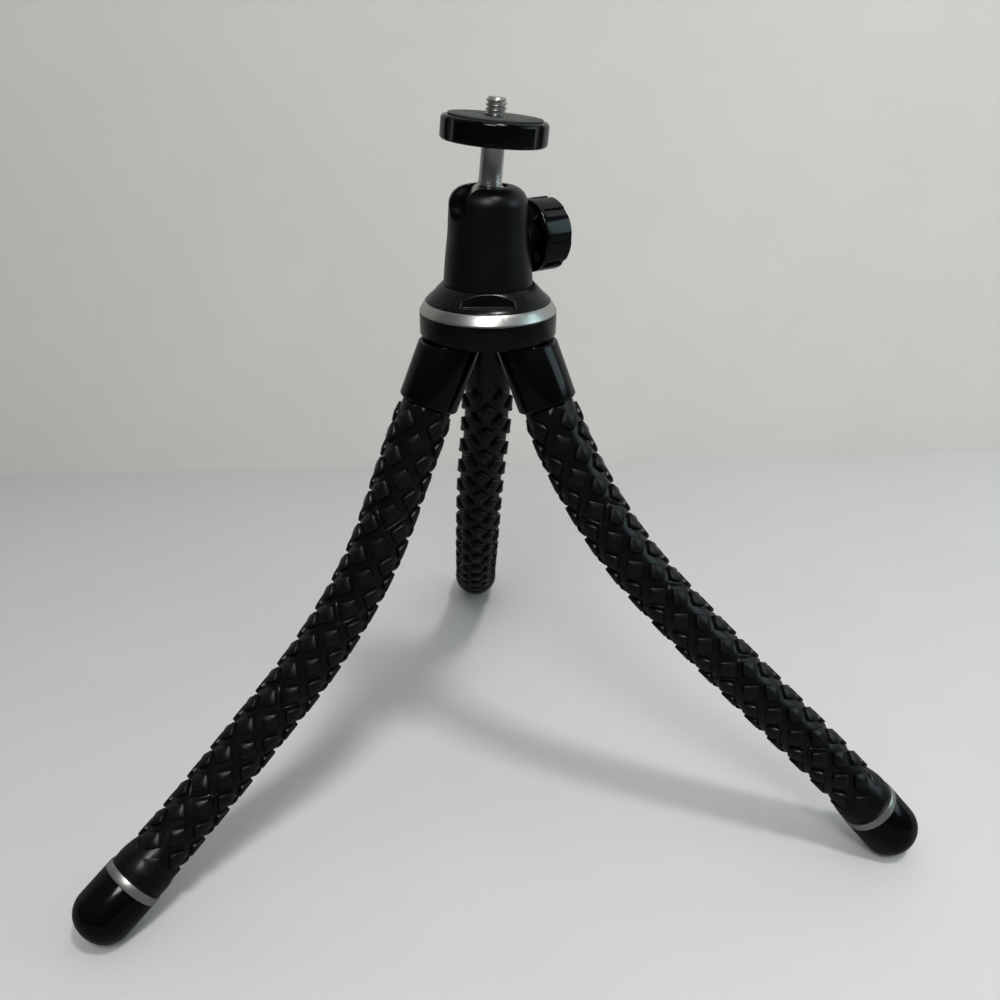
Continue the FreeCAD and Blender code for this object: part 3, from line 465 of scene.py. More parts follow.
def rubber_finish():
    """Moulded rubber: satin pads with a painted highlight on their tops and edges, smoother grooves, fine
    grain and a little dust.
    """
    material, tree, shader = start_finish("sleeve_rubber", Specular_IOR_Level=0.3)
    place = own_place(tree)
    relief = vertex_value(tree, "relief")
    edge = vertex_value(tree, "pad_edge")
    grain = use_group(tree, "Fine grain", {"Place": place, "Grain Scale": 5200.0, "Mottle Scale": 150.0})
    smear = use_group(tree, "Handling", {"Place": place, "Scale": 45.0, "Low": 0.26, "High": 0.36})
    dust = use_group(tree, "Dust", {"Place": place, "Speck Scale": 1300.0, "Amount": 0.06})
    colour = finishes().rubber
    base = blend_colours(tree, grain["Mottle"], tone(colour, 0.75), tone(colour, 1.35))
    # painted highlight: the pad tops and edges are painted lighter, unevenly
    painted_highlight = calculate(tree, "MULTIPLY", edge, spread(tree, grain["Mottle"], 0.35, 0.65, 0.2, 0.8))
    base = blend_colours(tree, painted_highlight, base, tone(colour, 2.4))
    base = blend_colours(tree, dust["Mask"], base, (0.16, 0.155, 0.15, 1.0))
    satin = calculate(tree, "MULTIPLY_ADD", relief, 0.12, smear["Roughness"])
    satin = calculate(tree, "MULTIPLY_ADD", edge, -0.06, satin)
    cover(tree, shader, base, satin, bump(tree, grain["Height"], 0.000012, 0.4))
    return material


def gloss_finish(name, colour, low=0.07, high=0.2):
    """Glossy moulded plastic with faint handling smears."""
    material, tree, shader = start_finish(name, Specular_IOR_Level=0.26)
    place = object_place(tree)
    grain = use_group(tree, "Fine grain", {"Place": place, "Grain Scale": 1500.0, "Mottle Scale": 80.0})
    smear = use_group(tree, "Handling", {"Place": place, "Scale": 70.0, "Low": low, "High": high})
    dust = use_group(tree, "Dust", {"Place": place, "Speck Scale": 1500.0, "Amount": 0.03})
    base = blend_colours(tree, grain["Mottle"], tone(colour, 0.8), tone(colour, 1.25))
    base = blend_colours(tree, dust["Mask"], base, (0.14, 0.14, 0.135, 1.0))
    dull = calculate(tree, "MULTIPLY_ADD", dust["Mask"], 0.6, smear["Roughness"])
    cover(tree, shader, base, dull, bump(tree, grain["Mottle"], 0.00006, 0.35))
    return material


def satin_finish(name, colour, grain_scale=4500.0, rough=(0.3, 0.42), depth=0.000014):
    """Fine satin paint over metal."""
    material, tree, shader = start_finish(name, Specular_IOR_Level=0.3)
    place = object_place(tree)
    grain = use_group(tree, "Fine grain", {"Place": place, "Grain Scale": grain_scale, "Mottle Scale": 300.0})
    smear = use_group(tree, "Handling", {"Place": place, "Scale": 90.0, "Low": rough[0], "High": rough[1]})
    dust = use_group(tree, "Dust", {"Place": place, "Speck Scale": 1600.0, "Amount": 0.03})
    base = blend_colours(tree, grain["Mottle"], tone(colour, 0.75), tone(colour, 1.4))
    base = blend_colours(tree, dust["Mask"], base, (0.15, 0.15, 0.15, 1.0))
    cover(tree, shader, base, smear["Roughness"], bump(tree, grain["Height"], depth, 0.6))
    return material


def turned_metal(name, colour, fineness, rough, depth):
    """Metal with marks that run round it."""
    material, tree, shader = start_finish(name, Metallic=1.0)
    place = own_place(tree)
    marks = use_group(tree, "Turning marks", {"Own Place": place, "Fineness": fineness, "Length": 2.0})
    smear = use_group(tree, "Handling", {"Place": place, "Scale": 120.0, "Low": rough[0], "High": rough[1]})
    base = blend_colours(tree, marks["Streak"], tone(colour, 0.82), tone(colour, 1.12))
    streaked = calculate(tree, "MULTIPLY_ADD", marks["Streak"], 0.1, smear["Roughness"])
    cover(tree, shader, base, streaked, bump(tree, marks["Height"], depth, 0.7))
    return material


def pad_finish():
    """The thin grey-green rubber pad under the camera."""
    material, tree, shader = start_finish("pad_rubber", Specular_IOR_Level=0.4)
    place = object_place(tree)
    grain = use_group(tree, "Fine grain", {"Place": place, "Grain Scale": 3200.0, "Mottle Scale": 420.0})
    smear = use_group(tree, "Handling", {"Place": place, "Scale": 130.0, "Low": 0.42, "High": 0.6})
    colour = finishes().pad_grey
    base = blend_colours(tree, grain["Mottle"], tone(colour, 0.7), tone(colour, 1.35))
    cover(tree, shader, base, smear["Roughness"], bump(tree, grain["Height"], 0.00006, 0.7))
    return material


def moulded_finish(name, colour, rough):
    """Plain moulded plastic for the parts inside."""
    material, tree, shader = start_finish(name)
    place = object_place(tree)
    grain = use_group(tree, "Fine grain", {"Place": place, "Grain Scale": 2600.0, "Mottle Scale": 120.0})
    low, high = rough - 0.08, rough + 0.08
    smear = use_group(tree, "Handling", {"Place": place, "Scale": 80.0, "Low": low, "High": high})
    base = blend_colours(tree, grain["Mottle"], tone(colour, 0.85), tone(colour, 1.15))
    cover(tree, shader, base, smear["Roughness"], bump(tree, grain["Height"], 0.00005, 0.5))
    return material


def inner_metal_finish(name, colour, rough):
    """Turned metal for the parts inside."""
    material, tree, shader = start_finish(name, Metallic=1.0)
    place = object_place(tree)
    grain = use_group(tree, "Fine grain", {"Place": place, "Grain Scale": 3800.0, "Mottle Scale": 260.0})
    low, high = rough - 0.07, rough + 0.07
    smear = use_group(tree, "Handling", {"Place": place, "Scale": 110.0, "Low": low, "High": high})
    base = blend_colours(tree, grain["Mottle"], tone(colour, 0.85), tone(colour, 1.1))
    cover(tree, shader, base, smear["Roughness"], bump(tree, grain["Height"], 0.00003, 0.5))
    return material


FINISH_MAKERS = {
    "sleeve_rubber": rubber_finish,
    "gloss_black": lambda: gloss_finish("gloss_black", finishes().gloss_black),
    "disc_black": lambda: gloss_finish("disc_black", finishes().gloss_black, 0.12, 0.28),
    "satin_black": lambda: satin_finish("satin_black", finishes().satin_black),
    "hub_black": lambda: satin_finish("hub_black", finishes().satin_black, 5200.0, (0.2, 0.32), 0.000008),
    "brushed_ring": lambda: turned_metal(
        "brushed_ring", finishes().bright_metal, 16000.0, (0.26, 0.36), 0.00003
    ),
    "polished_ring": lambda: turned_metal(
        "polished_ring", finishes().bright_metal, 20000.0, (0.24, 0.32), 0.000012
    ),
    "steel": lambda: turned_metal("steel", finishes().bright_metal, 14000.0, (0.2, 0.3), 0.00002),
    "pad_rubber": pad_finish,
    "link_plastic": lambda: moulded_finish("link_plastic", (0.08, 0.08, 0.08), 0.5),
    "inner_plastic": lambda: moulded_finish("inner_plastic", (0.55, 0.55, 0.53), 0.4),
    "inner_metal": lambda: inner_metal_finish("inner_metal", (0.5, 0.5, 0.5), 0.35),
    "inner_steel": lambda: inner_metal_finish("inner_steel", (0.58, 0.58, 0.58), 0.28),
}


def finish(name):
    """A finish by name, made when it is first asked for."""
    return bpy.data.materials.get(f"tripod_{name}") or FINISH_MAKERS[name]()


# Shapes


# Vertices nearer than this, in metres, are one
TOUCHING = 1e-7  # where a shape closes on itself or is cut
CAD_SEAM = 1e-6  # between the loose triangles of a CAD mesh
CELL_SEAM = 2e-6  # between the cells of the pads' pattern, or the turns of the thread
FLAT_ANGLE = 0.4  # degrees between neighbouring triangles that count as one face


def turned_shape(outline, steps=128):
    """A solid turned about Z from a closed outline of radii and heights, in millimetres."""
    shape = bmesh.new()
    points = [shape.verts.new((radius * MM, 0, height * MM)) for radius, height in outline]
    edges = [shape.edges.new(pair) for pair in zip(points, points[1:] + points[:1])]
    bmesh.ops.spin(
        shape, geom=points + edges, cent=(0, 0, 0), axis=(0, 0, 1), dvec=(0, 0, 0),
        angle=math.tau, steps=steps, use_merge=True, use_normal_flip=False, use_duplicate=False,
    )
    bmesh.ops.remove_doubles(shape, verts=shape.verts, dist=TOUCHING)
    bmesh.ops.dissolve_degenerate(shape, dist=TOUCHING, edges=shape.edges)
    bmesh.ops.recalc_face_normals(shape, faces=shape.faces)
    return shape


def soften(shape, width, segments=2, sharp=28, chosen=None):
    """Rounds the sharp edges of a shape."""
    edges = [
        edge for edge in shape.edges
        if edge.is_manifold and edge.calc_face_angle(0) > math.radians(sharp)
        and (chosen is None or chosen(edge))
    ]
    bmesh.ops.bevel(
        shape, geom=edges, offset=width * MM, offset_type="OFFSET", segments=segments,
        profile=0.5, affect="EDGES", clamp_overlap=True, material=-1,
    )


def keep_own_place(shape, place=Matrix()):
    """Stores each vertex's place about the axis of a shape that stands at a placement."""
    layer = shape.verts.layers.float_vector.new("own_place")
    back = place.inverted()
    for vert in shape.verts:
        vert[layer] = back @ vert.co


def make_piece(name, shape, material, sharp=40):
    """A finished object from a shape that stands in its place."""
    mesh = bpy.data.meshes.new(name)
    shape.to_mesh(mesh)
    shape.free()
    mesh.shade_smooth()
    mesh.set_sharp_from_angle(angle=math.radians(sharp))
    piece = bpy.data.objects.new(name, mesh)
    bpy.context.scene.collection.objects.link(piece)
    mesh.materials.append(finish(material))
    return piece


def stand_for(piece, body, slot_name, *nodes):
    """Puts a piece on its body in place of CAD nodes."""
    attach(piece, body)
    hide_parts(*nodes)


def place_turned(name, shape, place, material, body, slot_name, *nodes, sharp=40):
    """A turned shape put in its place as a piece."""
    keep_own_place(shape)
    shape.transform(place)
    stand_for(make_piece(name, shape, material, sharp), body, slot_name, *nodes)


def merged_copy(node):
    """A copy of a CAD node's mesh with its loose triangles joined."""
    shape = bmesh.new()
    shape.from_mesh(frame["nodes"][node].data)
    bmesh.ops.remove_doubles(shape, verts=shape.verts, dist=CAD_SEAM)
    bmesh.ops.dissolve_limit(
        shape, angle_limit=math.radians(FLAT_ANGLE), use_dissolve_boundaries=False, verts=shape.verts,
        edges=shape.edges,
    )
    return shape


def place_copy(name, node, place, width, material, body, slot_name, sharp=28, segments=2):
    """A CAD node's shape with its edges rounded, in place of the node."""
    shape = merged_copy(node)
    soften(shape, width, segments, sharp)
    keep_own_place(shape, place)
    stand_for(make_piece(name, shape, material), body, slot_name, node)


# Leg sleeves


END_GAP = 0.05 * MM  # left between the sleeve and the collar, and the sleeve and the foot ring
CUFF_SWELL = 0.75  # share of the cuff's length over which it swells
CUFF_BLANK = 0.42  # share of the cuff's length without pads
PAD_CORNERS = 16
PAD_RINGS = (  # half size in cells, squareness, relief, edge mask (share of the painted highlight and of the smoother rubber)
    (0.362, 9.0, 0.0, 0.0),
    (0.334, 7.0, -0.03, 0.0),
    (0.326, 6.0, 0.84, 0.6),
    (0.300, 5.5, 1.0, 1.0),
)


def squared(vert, size, squareness):
    """Moves a vertex on a circle to a square of that half size with rounded corners."""
    turn = math.atan2(vert.co.y, vert.co.x)
    across, up = math.cos(turn), math.sin(turn)
    power = 2 / squareness
    vert.co.x = math.copysign(abs(across) ** power, across) * size
    vert.co.y = math.copysign(abs(up) ** power, up) * size


def make_pad_tile(padded):
    """One cell of the pattern, a unit square: a groove floor, and a raised pad unless it is a blank."""
    tile = bmesh.new()
    edge_layer = tile.verts.layers.float.new("pad_edge")
    rim = bmesh.ops.create_circle(tile, segments=PAD_CORNERS, radius=1.0)["verts"]
    for vert in rim:
        reach = max(abs(vert.co.x), abs(vert.co.y))
        vert.co.xy = vert.co.xy / reach / 2
    edges = list(tile.edges)
    rings = PAD_RINGS if padded else ((0.3, 9.0, 0.0, 0.0),)
    for size, squareness, relief, painted_highlight in rings:
        made = bmesh.ops.extrude_edge_only(tile, edges=edges)["geom"]
        edges = [
            item for item in made
            if isinstance(item, bmesh.types.BMEdge) and all(vert in made for vert in item.verts)
        ]
        for vert in (item for item in made if isinstance(item, bmesh.types.BMVert)):
            squared(vert, size, squareness)
            vert.co.z = relief
            # the edge mask is the share of the painted highlight on this ring of the pad
            vert[edge_layer] = painted_highlight
    top = bmesh.ops.contextual_create(tile, geom=edges)["faces"]
    middle_vert = bmesh.ops.poke(tile, faces=top)["verts"][0]
    middle_vert.co = (0, 0, 1.0 if padded else 0.0)
    return tile


def smooth_step(value):
    share = min(max(value, 0.0), 1.0)
    return share * share * (3 - 2 * share)


def sleeve_radius(settings, length, along, relief):
    """Radius of the sleeve at a distance along the leg, for a relief of 0 in a groove to 1 on a pad."""
    into_cuff = along - (length - settings.cuff_length)
    swell = smooth_step(into_cuff / (settings.cuff_length * CUFF_SWELL))
    floor = settings.groove_radius + (settings.cuff_radius - settings.groove_radius) * swell
    top = max(settings.pad_radius, floor)
    return floor + (top - floor) * relief


def make_section(side, number, line, tiles):
    """One section of the sleeve, from the middle of one link to the middle of the next."""
    settings = sleeve_sizes()
    length = line.length
    first_row = math.ceil(line.link * (number - 1) / settings.row_step - 1e-9)
    last_row = math.ceil(line.link * number / settings.row_step - 1e-9) - 1
    # The end sections start with more rows than they keep, and are cut off square below.
    if number == 1:
        first_row = -1
    if number == SECTIONS:
        last_row += 2
    step_round = math.pi / settings.pads_round
    sheet = bmesh.new()
    sheet.verts.layers.float.new("pad_edge")
    for row in range(first_row, last_row + 1):
        along = row * settings.row_step
        blank = along < settings.plain_band or along > length - settings.cuff_length * CUFF_BLANK
        for index in range(settings.pads_round):
            turn = (index * 2 + row % 2) * step_round
            count = len(sheet.verts)
            sheet.from_mesh(tiles[0 if blank else 1])
            sheet.verts.ensure_lookup_table()
            for vert in sheet.verts[count:]:
                across, up = vert.co.x, vert.co.y
                vert.co.x = along + (across + up) * settings.row_step
                vert.co.y = (turn + (across - up) * step_round) * settings.pad_radius
    whole = sheet.verts[:] + sheet.edges[:] + sheet.faces[:]
    if number == 1:
        bmesh.ops.bisect_plane(
            sheet, geom=whole, dist=TOUCHING, plane_co=(END_GAP, 0, 0), plane_no=(1, 0, 0), clear_inner=True,
        )
    if number == SECTIONS:
        bmesh.ops.bisect_plane(
            sheet, geom=whole, dist=TOUCHING, plane_co=(length - END_GAP, 0, 0), plane_no=(1, 0, 0),
            clear_outer=True,
        )
    relief_layer = sheet.verts.layers.float.new("relief")
    place_layer = sheet.verts.layers.float_vector.new("own_place")
    for vert in sheet.verts:
        along, relief = vert.co.x, vert.co.z
        turn = vert.co.y / settings.pad_radius
        radius = sleeve_radius(settings, length, along, relief)
        spot = Vector((math.cos(turn) * radius, math.sin(turn) * radius, 0))
        vert[relief_layer] = relief
        vert[place_layer] = spot + UP * along
        vert.co = line.at(along) @ spot
    bmesh.ops.remove_doubles(sheet, verts=sheet.verts, dist=CELL_SEAM)
    bmesh.ops.recalc_face_normals(sheet, faces=sheet.faces)
    name = f"{side}_leg_sleeve_{number}"
    piece = make_piece(name, sheet, "sleeve_rubber", sharp=60)
    wall = piece.modifiers.new("Rubber wall", "SOLIDIFY")
    wall.thickness = settings.wall
    wall.offset = -1
    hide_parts(f"{side}_sleeve_{number}")
    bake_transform(piece)


class TRIPOD_OT_sleeves(bpy.types.Operator):
    """Make the ribbed rubber sleeves of the three legs"""

    bl_idname = "tripod.make_sleeves"
    bl_label = "Make leg sleeves"

    def execute(self, context):
        tiles = []
        for padded in (False, True):
            tile = make_pad_tile(padded)
            mesh = bpy.data.meshes.new("pad_tile")
            tile.to_mesh(mesh)
            tile.free()
            tiles.append(mesh)
        for side in SIDES:
            line = LegLine(side)
            for number in range(1, SECTIONS + 1):
                make_section(side, number, line, tiles)
        for mesh in tiles:
            bpy.data.meshes.remove(mesh)
        return {"FINISHED"}


# Collars and feet


# Sizes of a foot in millimetres, and heights down the leg from the end of the sleeve
FOOT_RADIUS, FOOT_BORE = 10.1, 4.55
BAND_END, BORE_END, FOOT_END = 2.8, 12.85, 22.3
FOOT_ROUNDING = 8.5


class TRIPOD_OT_collars(bpy.types.Operator):
    """Make the glossy collars at the roots of the legs"""

    bl_idname = "tripod.make_collars"
    bl_label = "Make collars"

    def execute(self, context):
        for side in SIDES:
            line = LegLine(side)
            place = standing_on(line.starts[0], -line.ways[0], Vector((0, -1, 0)))
            place_copy(
                f"{side}_collar_shell", f"{side}_collar", place, 0.25, "gloss_black", "hub", "gloss_black"
            )
        return {"FINISHED"}


class TRIPOD_OT_feet(bpy.types.Operator):
    """Make the brushed rings and the rounded caps of the feet"""

    bl_idname = "tripod.make_feet"
    bl_label = "Make feet"

    def execute(self, context):
        for side in SIDES:
            line = LegLine(side)
            place = standing_on(line.starts[-1], line.ways[-1], UP)
            ring = turned_shape([
                (FOOT_BORE, 0), (FOOT_RADIUS, 0), (FOOT_RADIUS, BAND_END), (FOOT_BORE, BAND_END),
            ])
            soften(ring, 0.18, 2)
            body = f"{side}_leg_{SECTIONS}"
            place_turned(
                f"{side}_foot_band", ring, place, "brushed_ring", body, "brushed_ring", f"{side}_foot_ring"
            )
            cap = turned_shape([
                (FOOT_BORE, BAND_END), (FOOT_RADIUS, BAND_END), (FOOT_RADIUS, FOOT_END), (0, FOOT_END),
                (0, BORE_END), (FOOT_BORE, BORE_END),
            ])
            soften(cap, FOOT_ROUNDING, 14, chosen=self.at_tip)
            soften(cap, 0.2, 2, chosen=self.at_band)
            place_turned(
                f"{side}_foot_tip", cap, place, "gloss_black", body, "gloss_black", f"{side}_foot_cap"
            )
        return {"FINISHED"}

    @staticmethod
    def at_tip(edge):
        """Whether an edge is on the cap's outer end."""
        return all(
            vert.co.z > (FOOT_END - 0.3) * MM and vert.co.xy.length > (FOOT_RADIUS - 1.1) * MM
            for vert in edge.verts
        )

    @staticmethod
    def at_band(edge):
        """Whether an edge is on the cap's end at the ring."""
        return all(vert.co.z < (BAND_END + 0.2) * MM for vert in edge.verts)


# Hub


class TRIPOD_OT_hub(bpy.types.Operator):
    """Make the hub: its black band, silver ring and notched shoulder"""

    bl_idname = "tripod.make_hub"
    bl_label = "Make hub"

    def execute(self, context):
        place = Matrix.Translation(HUB_FLOOR)
        place_copy("hub_band", "hub_base", place, 0.28, "hub_black", "hub", "satin_black")
        place_copy("hub_shoulder_top", "hub_shoulder", place, 0.22, "hub_black", "hub", "satin_black")
        place_copy(
            "hub_bright_ring", "hub_ring", place, 0.15, "polished_ring", "hub", "polished_ring", sharp=20
        )
        return {"FINISHED"}


# Ball head and platform


# Sizes in millimetres, and heights up the stem from the middle of the ball
PAD_BORE, PAD_EDGE = 3.275, 14.0
PAD_FOOT, PAD_TOP = 24.4, 25.0
SCREW_MAJOR, SCREW_MINOR = 3.175, 2.58
SCREW_FOOT, SCREW_TIP = 24.0, 30.0
SCREW_CHAMFER = 0.75
SCREW_STEPS = 64  # in one turn of the thread


class TRIPOD_OT_housing(bpy.types.Operator):
    """Make the domed housing with its slot and boss"""

    bl_idname = "tripod.make_housing"
    bl_label = "Make head housing"

    def execute(self, context):
        place = Matrix.Translation(Vector((HUB.x, HUB.y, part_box("head_housing")[0].z)))
        place_copy("head_body", "head_housing", place, 0.35, "satin_black", "head", "satin_black", segments=3)
        return {"FINISHED"}


class TRIPOD_OT_stem(bpy.types.Operator):
    """Make the steel ball and stem"""

    bl_idname = "tripod.make_stem"
    bl_label = "Make ball and stem"

    def execute(self, context):
        place_copy("steel_stem", "ball_stem", STEM, 0.12, "steel", "stem", "steel", sharp=25)
        return {"FINISHED"}


class TRIPOD_OT_knob(bpy.types.Operator):
    """Make the fluted clamp knob"""

    bl_idname = "tripod.make_knob"
    bl_label = "Make clamp knob"

    def execute(self, context):
        place_copy("fluted_knob", "clamp_knob", KNOB, 0.12, "gloss_black", "knob", "gloss_black", sharp=20)
        return {"FINISHED"}


class TRIPOD_OT_platform(bpy.types.Operator):
    """Make the scalloped disc and its rubber pad"""

    bl_idname = "tripod.make_platform"
    bl_label = "Make platform"

    def execute(self, context):
        place_copy(
            "scalloped_disc", "platform_disc", STEM, 0.2, "disc_black", "platform", "disc_black", sharp=20
        )
        pad = turned_shape([
            (PAD_BORE, PAD_FOOT), (PAD_EDGE, PAD_FOOT), (PAD_EDGE, PAD_TOP), (PAD_BORE, PAD_TOP),
        ])
        soften(pad, 0.15, 2)
        place_turned("rubber_pad", pad, STEM, "pad_rubber", "platform", "pad_rubber", "platform_pad")
        return {"FINISHED"}


class TRIPOD_OT_camera_screw(bpy.types.Operator):
    """Make the camera screw with its quarter-inch thread"""

    bl_idname = "tripod.make_camera_screw"
    bl_label = "Make camera screw"

    pitch: bpy.props.FloatProperty(
        name="Pitch", description="Rise of the thread in one turn, in millimetres", default=1.27,
    )

    def execute(self, context):
        pitch = self.pitch
        start = SCREW_FOOT - 2 * pitch
        outline = (  # radius, and share of the pitch
            (SCREW_MINOR, 0), (SCREW_MINOR, 0.12), (SCREW_MAJOR, 0.44), (SCREW_MAJOR, 0.56),
            (SCREW_MINOR, 0.88), (SCREW_MINOR, 1),
        )
        shape = bmesh.new()
        points = [
            shape.verts.new((radius * MM, 0, (start + share * pitch) * MM)) for radius, share in outline
        ]
        edges = [shape.edges.new(pair) for pair in zip(points, points[1:])]
        turns = math.ceil((SCREW_TIP - SCREW_FOOT) / pitch) + 4
        bmesh.ops.spin(
            shape, geom=points + edges, cent=(0, 0, 0), axis=(0, 0, 1),
            dvec=(0, 0, pitch * MM / SCREW_STEPS), angle=math.tau * turns, steps=SCREW_STEPS * turns,
            use_merge=False, use_normal_flip=False, use_duplicate=False,
        )
        bmesh.ops.remove_doubles(shape, verts=shape.verts, dist=CELL_SEAM)
        for height, clear_outer in ((SCREW_FOOT, False), (SCREW_TIP, True)):
            whole = shape.verts[:] + shape.edges[:] + shape.faces[:]
            bmesh.ops.bisect_plane(
                shape, geom=whole, dist=TOUCHING, plane_co=(0, 0, height * MM), plane_no=(0, 0, 1),
                clear_outer=clear_outer, clear_inner=not clear_outer,
            )
        for vert in shape.verts:
            reach = vert.co.xy.length
            most = (SCREW_MAJOR - SCREW_CHAMFER + (SCREW_TIP - vert.co.z / MM)) * MM
            if reach > most:
                vert.co.xy = vert.co.xy * (most / reach)
        rims = [edge for edge in shape.edges if edge.is_boundary]
        bmesh.ops.holes_fill(shape, edges=rims, sides=0)
        bmesh.ops.recalc_face_normals(shape, faces=shape.faces)
        place_turned(
            "threaded_screw", shape, STEM, "steel", "platform", "steel", "camera_screw", sharp=30
        )
        return {"FINISHED"}


# Inner parts, which keep their CAD shape


CAD_FINISHES = {
    "leg_carrier": "inner_metal",
    "hub_screws": "inner_steel",
    "centre_screw": "inner_steel",
    "base_plug": "inner_metal",
    "seat_spring": "inner_steel",
    "ball_seat": "inner_plastic",
    "clamp_pad": "inner_plastic",
    "knob_stud": "inner_steel",
    "knob_washer": "inner_metal",
}


class TRIPOD_OT_inner_parts(bpy.types.Operator):
    """Give the inner CAD parts their finishes"""

    bl_idname = "tripod.finish_inner_parts"
    bl_label = "Finish inner parts"

    def execute(self, context):
        chosen = dict(CAD_FINISHES)
        for side in SIDES:
            for number in range(SECTIONS + 1):
                chosen[f"{side}_link_{number}"] = "link_plastic"
        for node, name in chosen.items():
            materials = frame["nodes"][node].data.materials
            materials.clear()
            materials.append(finish(name))
        return {"FINISHED"}


# Stage


SURFACE_REACH = 2.0  # from the middle of the table or the wall to its sides
TABLE_FORWARD = 1.2  # from the wall to the table's middle
WALL_HEIGHT = 1.9  # of the wall's middle
TABLE_PAINTED_SHADE = 0.68  # painted shade: tone of the table where it is darkest, as a share of its own
# painted shade: tone of the wall where it is darkest, as a share of its own
WALL_PAINTED_SHADE = 0.78
MIRRORED_TONE = (0.02, 0.02, 0.02, 1.0)  # towards which the table and the wall go in reflections
MIRRORED_ROOM = 0.25  # share of the room's light that a reflection shows
ROOM_SEEN = 0.45  # the room's strength where the camera sees past the table and the wall
LAMPS = (  # name, place and aim from the foot of the hub's axis, width, power, colour
    ("ceiling_lamp", (0.31, -0.43, 1.5), (0, 0, 0.05), 0.17, 8.6, (1.0, 0.985, 0.96)),
    ("front_lamp", (-0.055, -0.68, 0.92), (0, 0, 0.12), 0.26, 3.6, (1.0, 0.985, 0.965)),
    ("window_light", (1.1, -0.1, 0.6), (0, 0, 0.12), 0.6, 2.2, (0.72, 0.97, 1.0)),
)


def paint_with_painted_shade(name, low_place, high_place, low_tone, high_tone, rough, dimming):
    """A matt paint with painted shade, darker at one place and lighter towards another, and which is dimmer
    in reflections.
    """
    material, tree, shader = start_finish(name, Specular_IOR_Level=0.25)
    place = object_place(tree)
    parts = add_node(tree, "ShaderNodeSeparateXYZ", {0: place}).outputs
    reach = [high - low for low, high in zip(low_place, high_place)]
    total = sum(step * step for step in reach)
    terms = [calculate(tree, "MULTIPLY", part, step / total) for part, step in zip(parts, reach)]
    sum_xy = calculate(tree, "ADD", terms[0], terms[1])
    offset = -sum(low * step for low, step in zip(low_place, reach)) / total
    share = calculate(tree, "ADD", calculate(tree, "ADD", sum_xy, terms[2]), offset)
    share = add_node(tree, "ShaderNodeClamp", {"Value": share}).outputs[0]
    grain = use_group(tree, "Fine grain", {"Place": place, "Grain Scale": 900.0, "Mottle Scale": 14.0})
    # painted shade: the tone goes from the darker low tone to the high tone
    base = blend_colours(tree, share, tone(low_tone), tone(high_tone))
    mottle = spread(tree, grain["Mottle"], 0.3, 0.7, 0.0, 0.06)
    mottled = blend_colours(tree, mottle, base, (0.3, 0.3, 0.3, 1.0))
    mirrored = add_node(tree, "ShaderNodeLightPath").outputs["Is Glossy Ray"]
    dim = calculate(tree, "MULTIPLY", mirrored, dimming)
    tree.links.new(blend_colours(tree, dim, mottled, MIRRORED_TONE), shader.inputs["Base Color"])
    shader.inputs["Roughness"].default_value = rough
    tree.links.new(bump(tree, grain["Height"], 0.00004, 0.3), shader.inputs["Normal"])
    return material


def see_through_from_behind(material):
    """Clears the back of a surface, so that a camera behind it sees the object."""
    tree = material.node_tree
    behind = tree.nodes.new("ShaderNodeNewGeometry").outputs["Backfacing"]
    tree.links.new(calculate(tree, "SUBTRACT", 1.0, behind), tree.nodes["Principled BSDF"].inputs["Alpha"])


def lamp(name, place, aim, size, power, colour):
    """A soft square lamp that faces a point."""
    data = bpy.data.lights.new(name, "AREA")
    data.shape = "SQUARE"
    data.size = size
    data.energy = power
    data.color = colour
    obj = bpy.data.objects.new(name, data)
    obj.location = HUB_FLOOR + Vector(place)
    obj.rotation_mode = "QUATERNION"
    obj.rotation_quaternion = (Vector(aim) - Vector(place)).to_track_quat("-Z", "Y")
    obj.visible_camera = False
    bpy.context.scene.collection.objects.link(obj)


